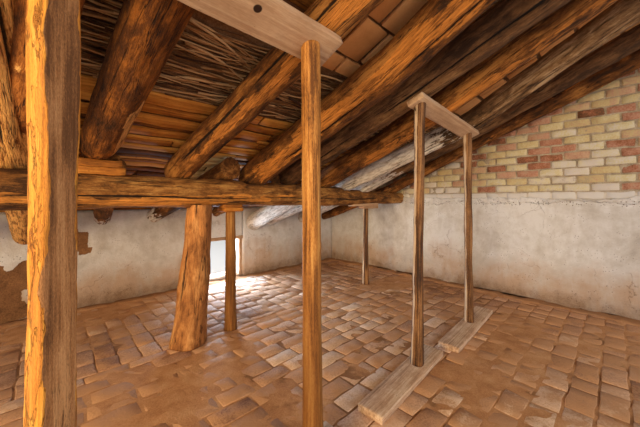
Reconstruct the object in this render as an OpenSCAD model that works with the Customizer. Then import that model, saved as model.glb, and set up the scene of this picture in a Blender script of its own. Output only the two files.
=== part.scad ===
/* [Room] */
// Clear length of the room, from the open end to the gable wall
room_length = 6000; // [5800:50:6200]
// Clear depth of the room, from the top log to the eave wall
room_depth = 5720; // [5600:20:5840]
// Thickness of the floor bed under the tiles
bed_t = 170; // [150:5:200]
// Thickness of the floor tiles with their mortar
tile_t = 30; // [25:1:40]

/* [Walls] */
// Thickness of the earth wall under the eaves
eave_wall_t = 450; // [420:10:500]
// Thickness of the gable wall
gable_t = 380; // [360:10:450]
// Height of the whitewashed earth base of the gable wall, above the floor
base_h = 1400; // [1380:5:1430]

/* [Window] */
// Centre of the window, from the open end
window_at = 3280; // [3250:10:3310]
// Width of the window
window_w = 800; // [760:10:840]
// Depth of the window's top below the underside of the roof deck
window_drop = 570; // [560:5:590]
// Height of the window sill, above the floor
sill_h = 40; // [30:5:60]
// Thickness of the lintel boards
lintel_t = 60; // [50:5:70]
// Length of lintel that bears on the wall at each side
lintel_bearing = 140; // [120:10:180]
// Side of the square jamb post
jamb_w = 60; // [50:5:70]

/* [Roof] */
// Slope of the roof above the purlin, in degrees
roof_slope = 21.8; // [21.4:0.1:22.2]
// Height of the underside of the roof deck over the purlin, above the floor
purlin_deck_h = 1853; // [1845:1:1861]
// How far the deck falls from the purlin to the eave wall
eave_fall = 593; // [578:5:608]
// Thickness of the deck of boards, sticks and tiles, square to the slope
deck_t = 40; // [30:5:50]
// Thickness of the earth on the deck
earth_t = 80; // [60:5:100]
// Length of deck laid with brushwood, above the boards
stick_band = 650; // [600:10:700]
// Length of deck laid with split boards, up from the purlin
board_band = 700; // [650:10:750]
// Reach of the deck and earth past the outside of the eave wall
eave_reach = 150; // [120:10:180]
// Reach of the roof past the outside of the gable wall
verge_reach = 60; // [40:10:80]
// Reach of the roof past the middle of the top log
top_reach = 170; // [160:10:200]

/* [Roof tiles] */
// Spacing of the tile channels
tile_pitch = 205; // [200:1:210]
// Outer radius of a curved tile
tile_r = 70; // [66:1:72]
// Thickness of a curved tile
tile_wall = 14; // [12:1:16]
// Reach of the tiles past the edge of the earth at the eaves
tile_reach = 70; // [50:5:90]
// Outer radius of a capping tile along the top edge
cap_r = 120; // [112:2:126]

/* [Logs] */
// Usual diameter of a rafter, which all the other logs and posts follow
log_d = 240; // [236:1:244]
// Distance from the eave wall back to the middle of the purlin
purlin_back = 1820; // [1790:10:1850]
// Depth of the purlin's end in the gable wall
purlin_bearing = 200; // [160:10:240]
// Diameter of the log at the top of the roof
ridge_d = 290; // [280:5:300]
// How deep the flat is hewn where a log lies on another one
seat_cut = 12; // [10:1:14]
// How deep the flat is hewn under a carrying log where a post bears
rest_cut = 22; // [18:1:26]
// How far a rafter's end runs into the eave wall
foot_depth = 260; // [220:10:300]
// How much of each rafter's back is hewn off under the deck
back_cut = 14; // [10:1:18]

/* [Props] */
// Distance from the eave wall back to the row of props
prop_back = 3575; // [3550:5:3600]
// Thickness of the sole boards on the floor
sole_t = 50; // [40:5:60]
// Thickness of the head boards under the rafters
head_t = 50; // [40:5:60]
// Width of the left head board
head_w = 188; // [178:2:198]
// Width of the right head board
slim_head_w = 135; // [125:5:145]
// Width of the sole boards
sole_w = 185; // [170:5:200]
// Gap left round a log's end in its wall pocket
pocket_gap = 15; // [10:1:25]

/* [Hidden] */

floor_t = bed_t + tile_t;
x_open = -room_length/2;
x_gable = room_length/2;
y_top = -room_depth/2;
y_eave = room_depth/2;
y_near = y_top - top_reach;
y_outer = y_eave + eave_wall_t;
y_purlin = y_eave - purlin_back;
y_props = y_eave - prop_back;
rise = tan(roof_slope);
slant = 1/cos(roof_slope);
eave_rise = eave_fall/purlin_back;
eave_slope = atan(eave_rise);
x_verge = x_gable + gable_t + verge_reach;
base_top = floor_t + base_h;
window_x = x_open + window_at;
sides = 12;
far = 20000;

eave_h = purlin_deck_h - eave_fall;
window_head = eave_h - window_drop;
// The tables of logs are written for rafters of this diameter
table_d = 240;
wood = log_d/table_d;

// Height of the plane that the long logs keep from top to bottom
function plane_z(y) = floor_t + purlin_deck_h + (y_purlin - y)*rise;
// Height of the underside of the deck, which is flatter below the purlin
function deck_z(y) = y <= y_purlin ? plane_z(y) : floor_t + eave_h + (y_eave - y)*eave_rise;
// A place along the room, as a share of its length
function along(share) = x_open + share*room_length;
function mix(a, b, t) = a + (b - a)*t;
// Uneven outline of a log: a factor on its radius at one angle of one ring
function uneven(angle, ring, seed) =
    1 + 0.022*sin(2*angle + 47*seed + 22*ring) + 0.018*sin(3*angle - 61*seed + 55*ring);

// One ring of a log: points round a centre, in the plane of two directions
function ring(centre, across, up, ra, rb, k, seed) = [
    for (i = [0:sides - 1])
        let (angle = 360*i/sides, f = uneven(angle, k, seed))
            centre + across*ra*f*cos(angle) + up*rb*f*sin(angle)
];

// Skin over a row of rings, closed with a flat end at each side
module skin_over(rings) {
    last = len(rings) - 1;
    points = [for (r = rings) for (p = r) p];
    walls = [
        for (k = [0:last - 1]) for (i = [0:sides - 1])
            let (a = k*sides + i, b = k*sides + (i + 1)%sides)
                each [[a, a + sides, b + sides], [a, b + sides, b]]
    ];
    caps = [
        [for (i = [0:sides - 1]) i],
        [for (i = [0:sides - 1]) last*sides + sides - 1 - i]
    ];
    polyhedron(points = points, faces = concat(caps, walls), convexity = 4);
}

// A slab that follows the slope between two lines across the room, with the
// bend over the purlin where it lies between them
module sloped_slab(from_x, to_x, from_y, to_y, low, high) {
    bend = from_y < y_purlin && to_y > y_purlin ? [y_purlin] : [];
    outline = [
        for (y = concat([from_y], bend, [to_y])) [y, deck_z(y) + low*slant],
        for (y = concat([to_y], bend, [from_y])) [y, deck_z(y) + high*slant]
    ];
    translate([from_x, 0, 0])
        rotate([90, 0, 90])
            linear_extrude(to_x - from_x)
                polygon(outline);
}

// Everything above the underside of the deck
module over_deck() {
    sloped_slab(-far, far, -far, far, 0, far);
}

// The purlin: places along the room as shares of its length, depth of its
// underside below the deck over it, and diameter
PURLIN = [
    [0.000, 533, 305], [0.147, 531, 299], [0.370, 528, 281], [0.587, 526, 278],
    [0.672, 541, 288], [0.755, 545, 238], [0.865, 531, 214], [0.998, 520, 196], [1.1, 518, 190]
];
function share_of(x) = (x - x_open)/room_length;
function purlin_d(x) = wood*lookup(share_of(x), [for (s = PURLIN) [s[0], s[2]]]);
function purlin_low(x) =
    floor_t + purlin_deck_h - wood*lookup(share_of(x), [for (s = PURLIN) [s[0], s[1]]]);
function purlin_top(x) = purlin_low(x) + purlin_d(x);
function purlin_rest(x) = purlin_low(x) + rest_cut;

least_rafter_d = wood*212;
top_log_z = plane_z(y_top) - least_rafter_d*slant + back_cut;

// Rafters: places at the top, prop, purlin and eave lines as shares of the
// length, diameters at top and foot, depth below the deck at those four lines
RAFTERS = [
    [0.055, 0.055, 0.055, 0.055, 235, 240, [0, 0, 10, 0]],
    [0.150, 0.153, 0.158, 0.155, 238, 235, [0, 14, 14, 0]],
    [0.284, 0.254, 0.230, 0.230, 240, 240, [0, 24, 12, 0]],
    [0.4145, 0.378, 0.342, 0.336, 245, 240, [0, 37, 20, 0]],
    [0.4605, 0.484, 0.476, 0.482, 272, 321, [0, 76, 5, 0]],
    [0.572, 0.567, 0.555, 0.588, 271, 279, [30, 40, 0, 0]],
    [0.622, 0.646, 0.662, 0.648, 235, 291, [10, 103, 40, 5]],
    [0.685, 0.762, 0.738, 0.714, 233, 217, [10, 172, 108, 5]],
    [0.834, 0.866, 0.813, 0.847, 200, 217, [30, 80, 141, 5]],
    [0.955, 0.962, 0.957, 0.958, 190, 190, [40, 70, 163, 10]]
];
// The fork of the second rafter, as a row of the same kind. It tapers into the
// main log and ends inside it, above the purlin
FORK = [0.227, 0.197, 0.163, 0.158, 215, 190, [0, 50, 75, 0]];
fork_number = 11;
fork_end = 280;
fork_taper = 520;
// Logs from the purlin to the eaves: places at the purlin and eave lines,
// diameters, depths below the deck, and where the upper end lies past the purlin
EAVE_RAFTERS = [
    [0.250, 0.273, 200, 195, [60, 0], 45],
    [0.420, 0.375, 215, 195, [40, 0], -60],
    [0.528, 0.530, 165, 150, [95, 0], 20.5]
];
// Rafters that stop at the purlin, as number and length past its line
SHORT_RAFTERS = [[3, 30], [4, 130], [5, 130], [6, 20]];
block_lift = 120;
block_depth = 140;
tip_reach = 420;
// Room beside a log's widest line where a flat is hewn
flat_gap = 15;

function short_reach(number) = [for (s = SHORT_RAFTERS) if (s[0] == number) s[1]];
function is_short(number) = len(short_reach(number)) > 0;
function cross_lines() = [y_top, y_props, y_purlin, y_eave];
function pairs(keys, values) = [for (i = [0:len(keys) - 1]) [keys[i], values[i]]];
function rafter_x(row, y) = along(lookup(y, pairs(cross_lines(), [for (i = [0:3]) row[i]])));
function rafter_width(row, y) = wood*mix(row[4], row[5], (y - y_top)/(y_eave - y_top));
function rafter_drop(row, y) = wood*lookup(y, pairs(cross_lines(), row[6]));
function eave_rafter_x(row, y) = along(mix(row[0], row[1], (y - y_purlin)/(y_eave - y_purlin)));
function eave_share(y) = (y - y_purlin)/(y_eave - y_purlin);
function eave_rafter_drop(row, y) = wood*mix(row[4][0], row[4][1], eave_share(y));
function eave_rafter_width(row, y) = wood*mix(row[2], row[3], eave_share(y));
// Underside of a log at a line across the room, before its seats are hewn
function under(line_z, width, drop) = line_z - drop + back_cut - width*slant;
function rafter_under(row, y) = under(plane_z(y), rafter_width(row, y), rafter_drop(row, y));
function eave_rafter_under(row, y) = under(deck_z(y), eave_rafter_width(row, y), eave_rafter_drop(row, y));
// Level of the seat between a carrying log's top and the log that lies on it
function seat_level(top, low) = min(top - 4, max(low + seat_cut, (top + low)/2));
function rafter_seat(row) = seat_level(purlin_top(rafter_x(row, y_purlin)), rafter_under(row, y_purlin));
function eave_rafter_seat(row) =
    seat_level(purlin_top(eave_rafter_x(row, y_purlin)), eave_rafter_under(row, y_purlin));
function top_seat(row) = seat_level(top_log_z, rafter_under(row, y_top));
function rafter_foot(row) = rafter_under(row, y_eave) + seat_cut;
function eave_rafter_foot(row) = eave_rafter_under(row, y_eave) + seat_cut;

// A log under a plane, with plumb ends and its back hewn off under the deck.
// Each station is a place across, a line, the plane's height there, a diameter
// and a depth below the plane
module sloping_log(stations, seed) {
    rings = [
        for (k = [0:len(stations) - 1])
            let (s = stations[k], r = s[3]/2)
                ring([s[0], s[1], s[2] - s[4] + back_cut - r*slant],
                    [0, 0, 1], [1, 0, 0], r*slant, r, k, seed)
    ];
    difference() {
        skin_over(rings);
        over_deck();
    }
}

// The third rafter is hewn thinner over its packing, the fork towards its log
function tip(number, y) =
    number == 3 ? 1 - 0.42*pow(max(0, y - y_purlin + tip_reach)/tip_reach, 2) :
    number == fork_number ? 1 - 0.5*pow(max(0, y - y_purlin + fork_end + fork_taper)/fork_taper, 2) : 1;

module rafter_log(row, from_y, to_y, count, number) {
    sloping_log([
        for (k = [0:count])
            let (y = mix(from_y, to_y, k/count))
                [rafter_x(row, y), y, plane_z(y), rafter_width(row, y)*tip(number, y), rafter_drop(row, y)]
    ], number);
}

// What is hewn off a log where it lies on another one
hewn = 400;
module cut_below(z, x, from_y, to_y) {
    translate([x - hewn, from_y, z - hewn])
        cube([2*hewn, to_y - from_y, hewn]);
}

top_side = ridge_d/2 + flat_gap;
module rafter_body(row, number, end_y, count) {
    x = rafter_x(row, y_purlin);
    d = purlin_d(x)/2 + flat_gap;
    difference() {
        rafter_log(row, y_top - 130, end_y, count, number);
        cut_below(top_seat(row), rafter_x(row, y_top), y_near, y_top + top_side);
        if (number == 3)
            cut_below(block_seat() + block_lift, x, y_purlin - d, end_y + 50);
        else
            cut_below(rafter_seat(row), x, y_purlin - d, is_short(number) ? end_y + 50 : y_purlin + d);
        if (!is_short(number))
            cut_below(rafter_foot(row), rafter_x(row, y_eave), y_eave, y_eave + foot_depth + 50);
        head_board_room("left");
        head_board_room("right");
    }
}

module rafter(number) {
    short = is_short(number);
    end_y = short ? y_purlin + short_reach(number)[0] : y_eave + foot_depth;
    color("sienna")
        union() {
            rafter_body(RAFTERS[number - 1], number, end_y, short ? 10 : 14);
            if (number == 2)
                rafter_body(FORK, fork_number, y_purlin - fork_end, 10);
        }
}

module eave_rafter(number) {
    row = EAVE_RAFTERS[number - 1];
    x = eave_rafter_x(row, y_purlin);
    d = purlin_d(x)/2 + flat_gap;
    from_y = y_purlin + row[5];
    to_y = y_eave + foot_depth;
    color("sienna")
        difference() {
            sloping_log([
                for (k = [0:5])
                    let (y = mix(from_y, to_y, k/5))
                        [eave_rafter_x(row, y), y, deck_z(y),
                            eave_rafter_width(row, y), eave_rafter_drop(row, y)]
            ], number + 20);
            cut_below(eave_rafter_seat(row), x, y_purlin - d, y_purlin + d);
            cut_below(eave_rafter_foot(row), eave_rafter_x(row, y_eave), y_eave, to_y + 50);
        }
}

// Room for a seat on top of the purlin, as wide as the log that lies there
module purlin_seat_room(x, width, z) {
    translate([x - width/2 - 25, y_purlin - hewn, z])
        cube([width + 50, 2*hewn, hewn]);
}

// Flat under the purlin where a post or packer bears
module purlin_rest_room(x, width) {
    translate([x - width/2, y_purlin - hewn, purlin_rest(x) - hewn])
        cube([width, 2*hewn, hewn]);
}

module main_purlin() {
    x_end = x_gable + purlin_bearing;
    count = 16;
    rings = [
        for (k = [0:count])
            let (x = mix(x_open, x_end, k/count), r = purlin_d(x)/2)
                ring([x, y_purlin, purlin_low(x) + r], [0, 1, 0], [0, 0, 1], r, r, k, 31)
    ];
    color("peru")
        difference() {
            skin_over(rings);
            for (i = [0:len(RAFTERS) - 1])
                if (i != 2)
                    purlin_seat_room(rafter_x(RAFTERS[i], y_purlin), rafter_width(RAFTERS[i], y_purlin),
                        rafter_seat(RAFTERS[i]));
            purlin_seat_room(rafter_x(RAFTERS[2], y_purlin) + block_shift, block_w, block_seat());
            for (row = EAVE_RAFTERS)
                purlin_seat_room(eave_rafter_x(row, y_purlin), eave_rafter_width(row, y_purlin),
                    eave_rafter_seat(row));
            for (row = PURLIN_POSTS)
                purlin_rest_room(along(row[1]), wood*row[4]);
            translate([x_gable, y_purlin - hewn, purlin_rest(x_gable) - hewn])
                cube([purlin_bearing + 50, 2*hewn, hewn]);
        }
}

// Posts under the purlin: foot and head places, diameters, width of the flat
PURLIN_POSTS = [
    [0.018, 0.020, 210, 200, 260],
    [0.351, 0.370, 280, 232, 280],
    [0.425, 0.425, 112, 108, 240],
    [0.822, 0.822, 92, 88, 780]
];
packer_t = 38;
board_t = 45;

module standing_log(foot, head, foot_d, head_d, count, seed) {
    rings = [
        for (k = [0:count])
            let (t = k/count, flare = foot_d*0.10*pow(1 - t, 6), r = mix(foot_d, head_d, t)/2 + flare)
                ring(mix(foot, head, t), [1, 0, 0], [0, 1, 0], r, r, k, seed)
    ];
    skin_over(rings);
}

module purlin_post(number, head_z, count) {
    row = PURLIN_POSTS[number];
    standing_log([along(row[0]), y_purlin, floor_t], [along(row[1]), y_purlin, head_z],
        wood*row[2], wood*row[3], count, number + 40);
}

module end_post() {
    color("peru")
        purlin_post(0, purlin_rest(along(PURLIN_POSTS[0][1])), 6);
}

module leaning_post() {
    color("peru")
        purlin_post(1, purlin_rest(along(PURLIN_POSTS[1][1])), 7);
}

module slim_post() {
    color("tan")
        purlin_post(2, purlin_rest(along(PURLIN_POSTS[2][1])) - 2*packer_t, 6);
}

module far_post() {
    color("tan")
        purlin_post(3, purlin_rest(along(PURLIN_POSTS[3][1])) - 2*board_t, 6);
}

module slim_post_packers() {
    x = along(PURLIN_POSTS[2][1]);
    color("burlywood")
        for (layer = [0:1])
            translate([x - 115 + 12*layer, y_purlin - 80, purlin_rest(x) - packer_t*(layer + 1)])
                cube([215, 160, packer_t]);
}

// Two boards under the purlin: reach to the left of the post and length
FAR_BOARDS = [[380, 660], [120, 400]];
far_board_w = 120;
module far_post_boards() {
    x = along(PURLIN_POSTS[3][1]);
    color("burlywood")
        for (layer = [0:1])
            translate([x - FAR_BOARDS[layer][0], y_purlin - far_board_w/2,
                    purlin_rest(x) - board_t*(layer + 1)])
                cube([FAR_BOARDS[layer][1], far_board_w, board_t]);
}

block_w = 330;
block_shift = 40;
function block_seat() = purlin_top(rafter_x(RAFTERS[2], y_purlin)) - 22;
module purlin_block() {
    x = rafter_x(RAFTERS[2], y_purlin);
    color("burlywood")
        for (layer = [0:1])
            translate([x + block_shift - block_w/2, y_purlin - 110, block_seat() + layer*block_lift/2])
                cube([block_w - 25*layer, block_depth, block_lift/2]);
}

module top_log() {
    x_end = x_gable + purlin_bearing;
    count = 12;
    r = ridge_d/2;
    rings = [
        for (k = [0:count])
            ring([mix(x_open, x_end, k/count), y_top, top_log_z - r], [0, 1, 0], [0, 0, 1], r, r, k, 32)
    ];
    color("peru")
        difference() {
            skin_over(rings);
            for (row = concat(RAFTERS, [FORK]))
                translate([rafter_x(row, y_top) - wood*row[4]/2 - 25, y_top - hewn, top_seat(row)])
                    cube([wood*row[4] + 50, 2*hewn, hewn]);
            for (x = [along(top_posts[0]), along(top_posts[1])])
                translate([x - 130, y_top - hewn, top_rest - hewn])
                    cube([260, 2*hewn, hewn]);
            translate([x_gable, y_top - hewn, top_rest - hewn])
                cube([purlin_bearing + 50, 2*hewn, hewn]);
        }
}

top_posts = [0.03, 0.51];
top_rest = top_log_z - ridge_d + rest_cut;
module top_post(index) {
    x = along(top_posts[index]);
    color("peru")
        standing_log([x, y_top, floor_t], [x, y_top, top_rest], wood*220, wood*200, 7, 50 + index);
}

// Boards under the rafters, tilted with the slope. Each row holds the ends as
// shares of the length, the depth of the top face below the deck at each end,
// and the width
HEADS = [
    ["left", 0.135, 0.383, 250, 285, head_w],
    ["right", 0.547, 0.767, 312, 402, slim_head_w]
];
function head_row(which) = which == "left" ? HEADS[0] : HEADS[1];
function head_depth(row, x) = wood*lookup(share_of(x), [[row[1], row[3]], [row[2], row[4]]]);

// A tilted board, or room round it, from one height above its top face line to
// one depth below
module tilted_board(row, half_w, above, below) {
    corners = [
        for (low = [below, -above]) for (side = [-1, 1]) for (end = [1, 2])
            let (y = y_props + side*half_w)
                [along(row[end]), y, deck_z(y) - wood*row[end + 2] - low*slant]
    ];
    polyhedron(points = corners, faces = [
        [0, 1, 3, 2], [4, 6, 7, 5], [0, 4, 5, 1], [2, 3, 7, 6], [0, 2, 6, 4], [1, 5, 7, 3]
    ]);
}

module head_board_room(which) {
    tilted_board(head_row(which), head_row(which)[5]/2 + 40, 0, 300);
}

module head_board(which) {
    color("rosybrown")
        tilted_board(head_row(which), head_row(which)[5]/2, 0, head_t);
}

// Props: foot and head places along the length, foot and head diameters,
// the head board that lies on them
PROPS = [
    [0.1895, 0.1895, 112, 112, "left"], [0.361, 0.358, 104, 98, "left"],
    [0.554, 0.562, 92, 92, "right"], [0.750, 0.742, 92, 90, "right"]
];
module prop(index) {
    row = PROPS[index];
    head = along(row[1]);
    board = head_row(row[4]);
    color("goldenrod")
        difference() {
            standing_log([along(row[0]), y_props, floor_t + sole_t],
                [head, y_props, deck_z(y_props) - head_depth(board, head)],
                wood*row[2], wood*row[3], 7, 60 + index);
            tilted_board(board, head_w/2 + 200, 300, head_t);
            if (index == 0)
                translate([head - hewn, y_props - flat_side - hewn, floor_t])
                    cube([2*hewn, hewn, purlin_deck_h + hewn]);
        }
}

// The near post is split on one side: distance from its middle to that face
flat_side = wood*38;

// Boards on the floor under the props: ends and turn in degrees
SOLES = [[0.147, 0.392, 0], [0.435, 0.612, 4], [0.635, 0.843, 3]];
module sole_board(index) {
    row = SOLES[index];
    length = (row[1] - row[0])*room_length;
    color("rosybrown")
        translate([along((row[0] + row[1])/2), y_props - 10*index, floor_t])
            rotate([0, 0, row[2]])
                translate([-length/2, -sole_w/2, 0])
                    cube([length, sole_w, sole_t]);
}

module floor_bed() {
    color("dimgray")
        translate([x_open, y_near, 0])
            cube([room_length, y_eave - y_near, bed_t]);
}

module floor_tiles() {
    color("chocolate")
        translate([x_open, y_near, bed_t])
            cube([room_length, y_eave - y_near, tile_t]);
}

// The gable wall's side, cut off level at a given height
module gable_side(low, high) {
    translate([x_gable, 0, 0])
        rotate([90, 0, 90])
            linear_extrude(gable_t)
                intersection() {
                    polygon([
                        [y_near, 0], [y_outer, 0], [y_outer, deck_z(y_outer)],
                        [y_purlin, deck_z(y_purlin)], [y_near, deck_z(y_near)]
                    ]);
                    translate([y_near, low])
                        square([y_outer - y_near, high - low]);
                }
}

module gable_pockets() {
    d = purlin_d(x_gable)/2 + pocket_gap;
    translate([x_gable - 1, y_purlin - d, purlin_rest(x_gable)])
        cube([purlin_bearing + 11, 2*d, 2*d + 10]);
    translate([x_gable - 1, y_top - ridge_d/2 - pocket_gap, top_rest])
        cube([purlin_bearing + 11, ridge_d + 2*pocket_gap, ridge_d + 10]);
}

module gable_wall_base() {
    color("linen")
        difference() {
            gable_side(0, base_top);
            gable_pockets();
        }
}

module gable_brickwork() {
    color("indianred")
        difference() {
            gable_side(base_top, far);
            gable_pockets();
        }
}

// A stretch of the eave wall up to the deck, less the pockets of the rafters
module eave_wall(from_x, to_x, low) {
    difference() {
        translate([from_x, 0, 0])
            rotate([90, 0, 90])
                linear_extrude(to_x - from_x)
                    polygon([[y_eave, low], [y_outer, low],
                        [y_outer, deck_z(y_outer)], [y_eave, deck_z(y_eave)]]);
        for (i = [0:len(RAFTERS) - 1])
            if (!is_short(i + 1))
                rafter_pocket(rafter_x(RAFTERS[i], y_eave), wood*RAFTERS[i][5], rafter_foot(RAFTERS[i]),
                    plane_z(y_eave) + back_cut + 2*pocket_gap);
        for (row = EAVE_RAFTERS)
            rafter_pocket(eave_rafter_x(row, y_eave), wood*row[3], eave_rafter_foot(row),
                deck_z(y_eave) + 10);
    }
}

module rafter_pocket(x, width, low, high) {
    half = width/2 + pocket_gap;
    translate([x - half, y_eave - 1, low])
        cube([2*half, foot_depth + 11, high - low]);
}

window_left = window_x - window_w/2;
window_right = window_x + window_w/2;
lintel_z = floor_t + window_head;
module lintel_room() {
    translate([window_left - lintel_bearing, y_eave, lintel_z])
        cube([window_w + 2*lintel_bearing, eave_wall_t, lintel_t]);
}

module eave_wall_left() {
    color("linen")
        difference() {
            eave_wall(x_open, window_left, 0);
            lintel_room();
        }
}

module eave_wall_right() {
    color("linen")
        difference() {
            eave_wall(window_right, x_gable, 0);
            lintel_room();
        }
}

module eave_wall_over_window() {
    color("linen")
        eave_wall(window_left, window_right, lintel_z + lintel_t);
}

module window_sill() {
    color("linen")
        translate([window_left, y_eave, 0])
            cube([window_w, eave_wall_t, floor_t + sill_h]);
}

module window_lintel() {
    color("burlywood")
        lintel_room();
}

module window_jamb() {
    color("tan")
        translate([window_right - jamb_w, y_eave + 30, floor_t + sill_h])
            cube([jamb_w, jamb_w, window_head - sill_h]);
}

board_from = y_purlin - board_band;
stick_from = board_from - stick_band;
// Boards are laid left of this line at the top of the roof, and clay tiles right
clay_from = along(0.385);
module board_deck() {
    color("saddlebrown") {
        sloped_slab(x_open, x_verge, board_from, y_outer + eave_reach, 0, deck_t);
        sloped_slab(x_open, clay_from, y_near, stick_from, 0, deck_t);
    }
}

module stick_deck() {
    color("darkkhaki")
        sloped_slab(x_open, x_verge, stick_from, board_from, 0, deck_t);
}

module clay_deck() {
    color("sandybrown")
        sloped_slab(clay_from, x_verge, y_near, stick_from, 0, deck_t);
}

module roof_earth() {
    color("tan")
        sloped_slab(x_open, x_verge, y_near, y_outer + eave_reach, deck_t, deck_t + earth_t);
}

// Points of an arc, from one angle to another
function arc(x, z, r, from, to, steps) = [
    for (k = [0:steps])
        let (a = mix(from, to, k/steps))
            [x + r*cos(a), z + r*sin(a)]
];

// Section across the tiles: channels between covers, as one closed ribbon
channel_depth = 46;
tile_count = floor((x_verge - x_open)/tile_pitch);
tile_start = x_open + (x_verge - x_open - tile_count*tile_pitch)/2;
module tile_ribbon() {
    half = tile_pitch/2;
    for (i = [0:tile_count - 1])
        let (x = tile_start + (i + 0.5)*tile_pitch, top = arc(x, channel_depth, tile_r, 180, 0, 8),
             under = arc(x, channel_depth, tile_r - tile_wall, 0, 180, 8))
            polygon(concat(top, [[x + half, tile_wall], [x + half, 0], [x + tile_r - tile_wall, 0]],
                under, [[x - tile_r + tile_wall, 0], [x - half, 0], [x - half, tile_wall]]));
}

// A field of tiles between two lines across the room, at one slope
module tile_run(from_y, to_y, slope) {
    length = (to_y - from_y)/cos(slope);
    translate([0, from_y, deck_z(from_y) + (deck_t + earth_t)*slant])
        rotate([-slope, 0, 0])
            translate([0, length, 0])
                rotate([90, 0, 0])
                    linear_extrude(length)
                        tile_ribbon();
}

tile_top_y = y_near + 2*cap_r + 10;
bend_gap = (channel_depth + tile_r)*tan(roof_slope - eave_slope) + 1;
module roof_tiles() {
    color("darksalmon") {
        tile_run(tile_top_y, y_purlin, roof_slope);
        tile_run(y_purlin + bend_gap, y_outer + eave_reach + tile_reach, eave_slope);
    }
}

module capping_tiles() {
    y = y_near + cap_r + 5;
    z = deck_z(y) + (deck_t + earth_t)*slant;
    color("darksalmon")
        difference() {
            translate([x_open, y, z])
                rotate([0, 90, 0])
                    cylinder(h = x_verge - x_open, r = cap_r, $fn = 48);
            translate([x_open - 1, y, z])
                rotate([0, 90, 0])
                    cylinder(h = x_verge - x_open + 2, r = cap_r - tile_wall, $fn = 48);
            sloped_slab(-far, far, -far, far, -far, deck_t + earth_t);
        }
}

floor_bed();
floor_tiles();
gable_wall_base();
gable_brickwork();
eave_wall_left();
eave_wall_right();
eave_wall_over_window();
window_sill();
window_lintel();
window_jamb();
main_purlin();
leaning_post();
slim_post();
far_post();
end_post();
slim_post_packers();
far_post_boards();
purlin_block();
rafter(1);  // rafter_1
rafter(2);  // rafter_2
rafter(3);  // rafter_3
rafter(4);  // rafter_4
rafter(5);  // rafter_5
rafter(6);  // rafter_6
rafter(7);  // rafter_7
rafter(8);  // rafter_8
rafter(9);  // rafter_9
rafter(10);  // rafter_10
eave_rafter(1);  // eave_rafter_1
eave_rafter(2);  // eave_rafter_2
eave_rafter(3);  // eave_rafter_3
top_log();
top_post(0);  // top_post_left
top_post(1);  // top_post_right
prop(0);  // near_post
prop(1);  // centre_prop
prop(2);  // middle_prop
prop(3);  // right_prop
head_board("left");  // head_board_left
head_board("right");  // head_board_right
sole_board(0);  // sole_board_left
sole_board(1);  // sole_board_middle
sole_board(2);  // sole_board_right
board_deck();
stick_deck();
clay_deck();
roof_earth();
roof_tiles();
capping_tiles();
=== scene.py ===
import itertools
import math

import bpy
import numpy as np
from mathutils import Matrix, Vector


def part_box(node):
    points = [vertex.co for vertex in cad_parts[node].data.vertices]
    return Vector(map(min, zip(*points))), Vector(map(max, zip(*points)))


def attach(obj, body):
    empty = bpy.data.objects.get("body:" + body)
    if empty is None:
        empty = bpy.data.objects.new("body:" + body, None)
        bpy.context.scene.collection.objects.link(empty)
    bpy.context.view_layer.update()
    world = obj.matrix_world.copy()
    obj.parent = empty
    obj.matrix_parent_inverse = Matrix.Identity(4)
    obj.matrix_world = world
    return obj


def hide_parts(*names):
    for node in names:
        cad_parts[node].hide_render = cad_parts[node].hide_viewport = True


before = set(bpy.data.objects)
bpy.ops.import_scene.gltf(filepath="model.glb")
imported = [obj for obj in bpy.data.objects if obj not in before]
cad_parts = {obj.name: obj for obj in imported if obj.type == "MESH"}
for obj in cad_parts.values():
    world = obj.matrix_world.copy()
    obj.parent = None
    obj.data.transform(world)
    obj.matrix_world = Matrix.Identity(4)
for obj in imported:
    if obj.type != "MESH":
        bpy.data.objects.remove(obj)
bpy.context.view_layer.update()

# Places of the construction, read from the frame, in metres
X_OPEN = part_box("floor_bed")[0].x
X_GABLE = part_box("floor_bed")[1].x
X_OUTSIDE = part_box("gable_wall_base")[1].x
X_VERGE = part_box("roof_earth")[1].x
Y_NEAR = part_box("floor_bed")[0].y
Y_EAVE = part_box("floor_bed")[1].y
Y_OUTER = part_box("eave_wall_left")[1].y
Y_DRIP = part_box("roof_earth")[1].y
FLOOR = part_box("floor_tiles")[1].z
BED_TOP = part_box("floor_bed")[1].z
BASE_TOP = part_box("gable_wall_base")[1].z
Y_TOP = -Y_EAVE
Y_PURLIN = Y_EAVE - 1.820
Y_PROPS = Y_EAVE - 3.575
# The roof above the purlin: its slope, its fall and its length for each level metre
SLOPE = math.radians(21.8)
RISE = math.tan(SLOPE)
SLANT = 1/math.cos(SLOPE)
# Height of the deck's underside over the purlin, its fall for each level metre below the purlin,
# and how thick the deck and the earth on it are
PURLIN_DECK = FLOOR + 1.853
EAVE_RISE = (PURLIN_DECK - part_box("board_deck")[0].z)/(Y_DRIP - Y_PURLIN)
DECK_T = 0.040
EARTH_T = 0.080
# How deep logs are hewn under the deck, cut for a seat, and let down on a post
BACK_CUT = 0.014
SEAT_CUT = 0.012
REST_CUT = 0.022
# Air left between hewn faces, and half the seam between boards
AIR = 0.002
SEAM = 0.001
ROOM = X_GABLE - X_OPEN


def plane_z(y):
    """Height of the plane that the long logs keep from top to bottom."""
    return PURLIN_DECK + (Y_PURLIN - y)*RISE


def deck_z(y):
    """Height of the deck's underside, which falls less steeply below the purlin."""
    return np.where(y <= Y_PURLIN, plane_z(y), PURLIN_DECK + (Y_PURLIN - y)*EAVE_RISE)


def deck_reach(z):
    """How far down the roof the deck's underside comes to a height."""
    return Y_PURLIN - (z - PURLIN_DECK)/(RISE if z > PURLIN_DECK else EAVE_RISE)


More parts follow.
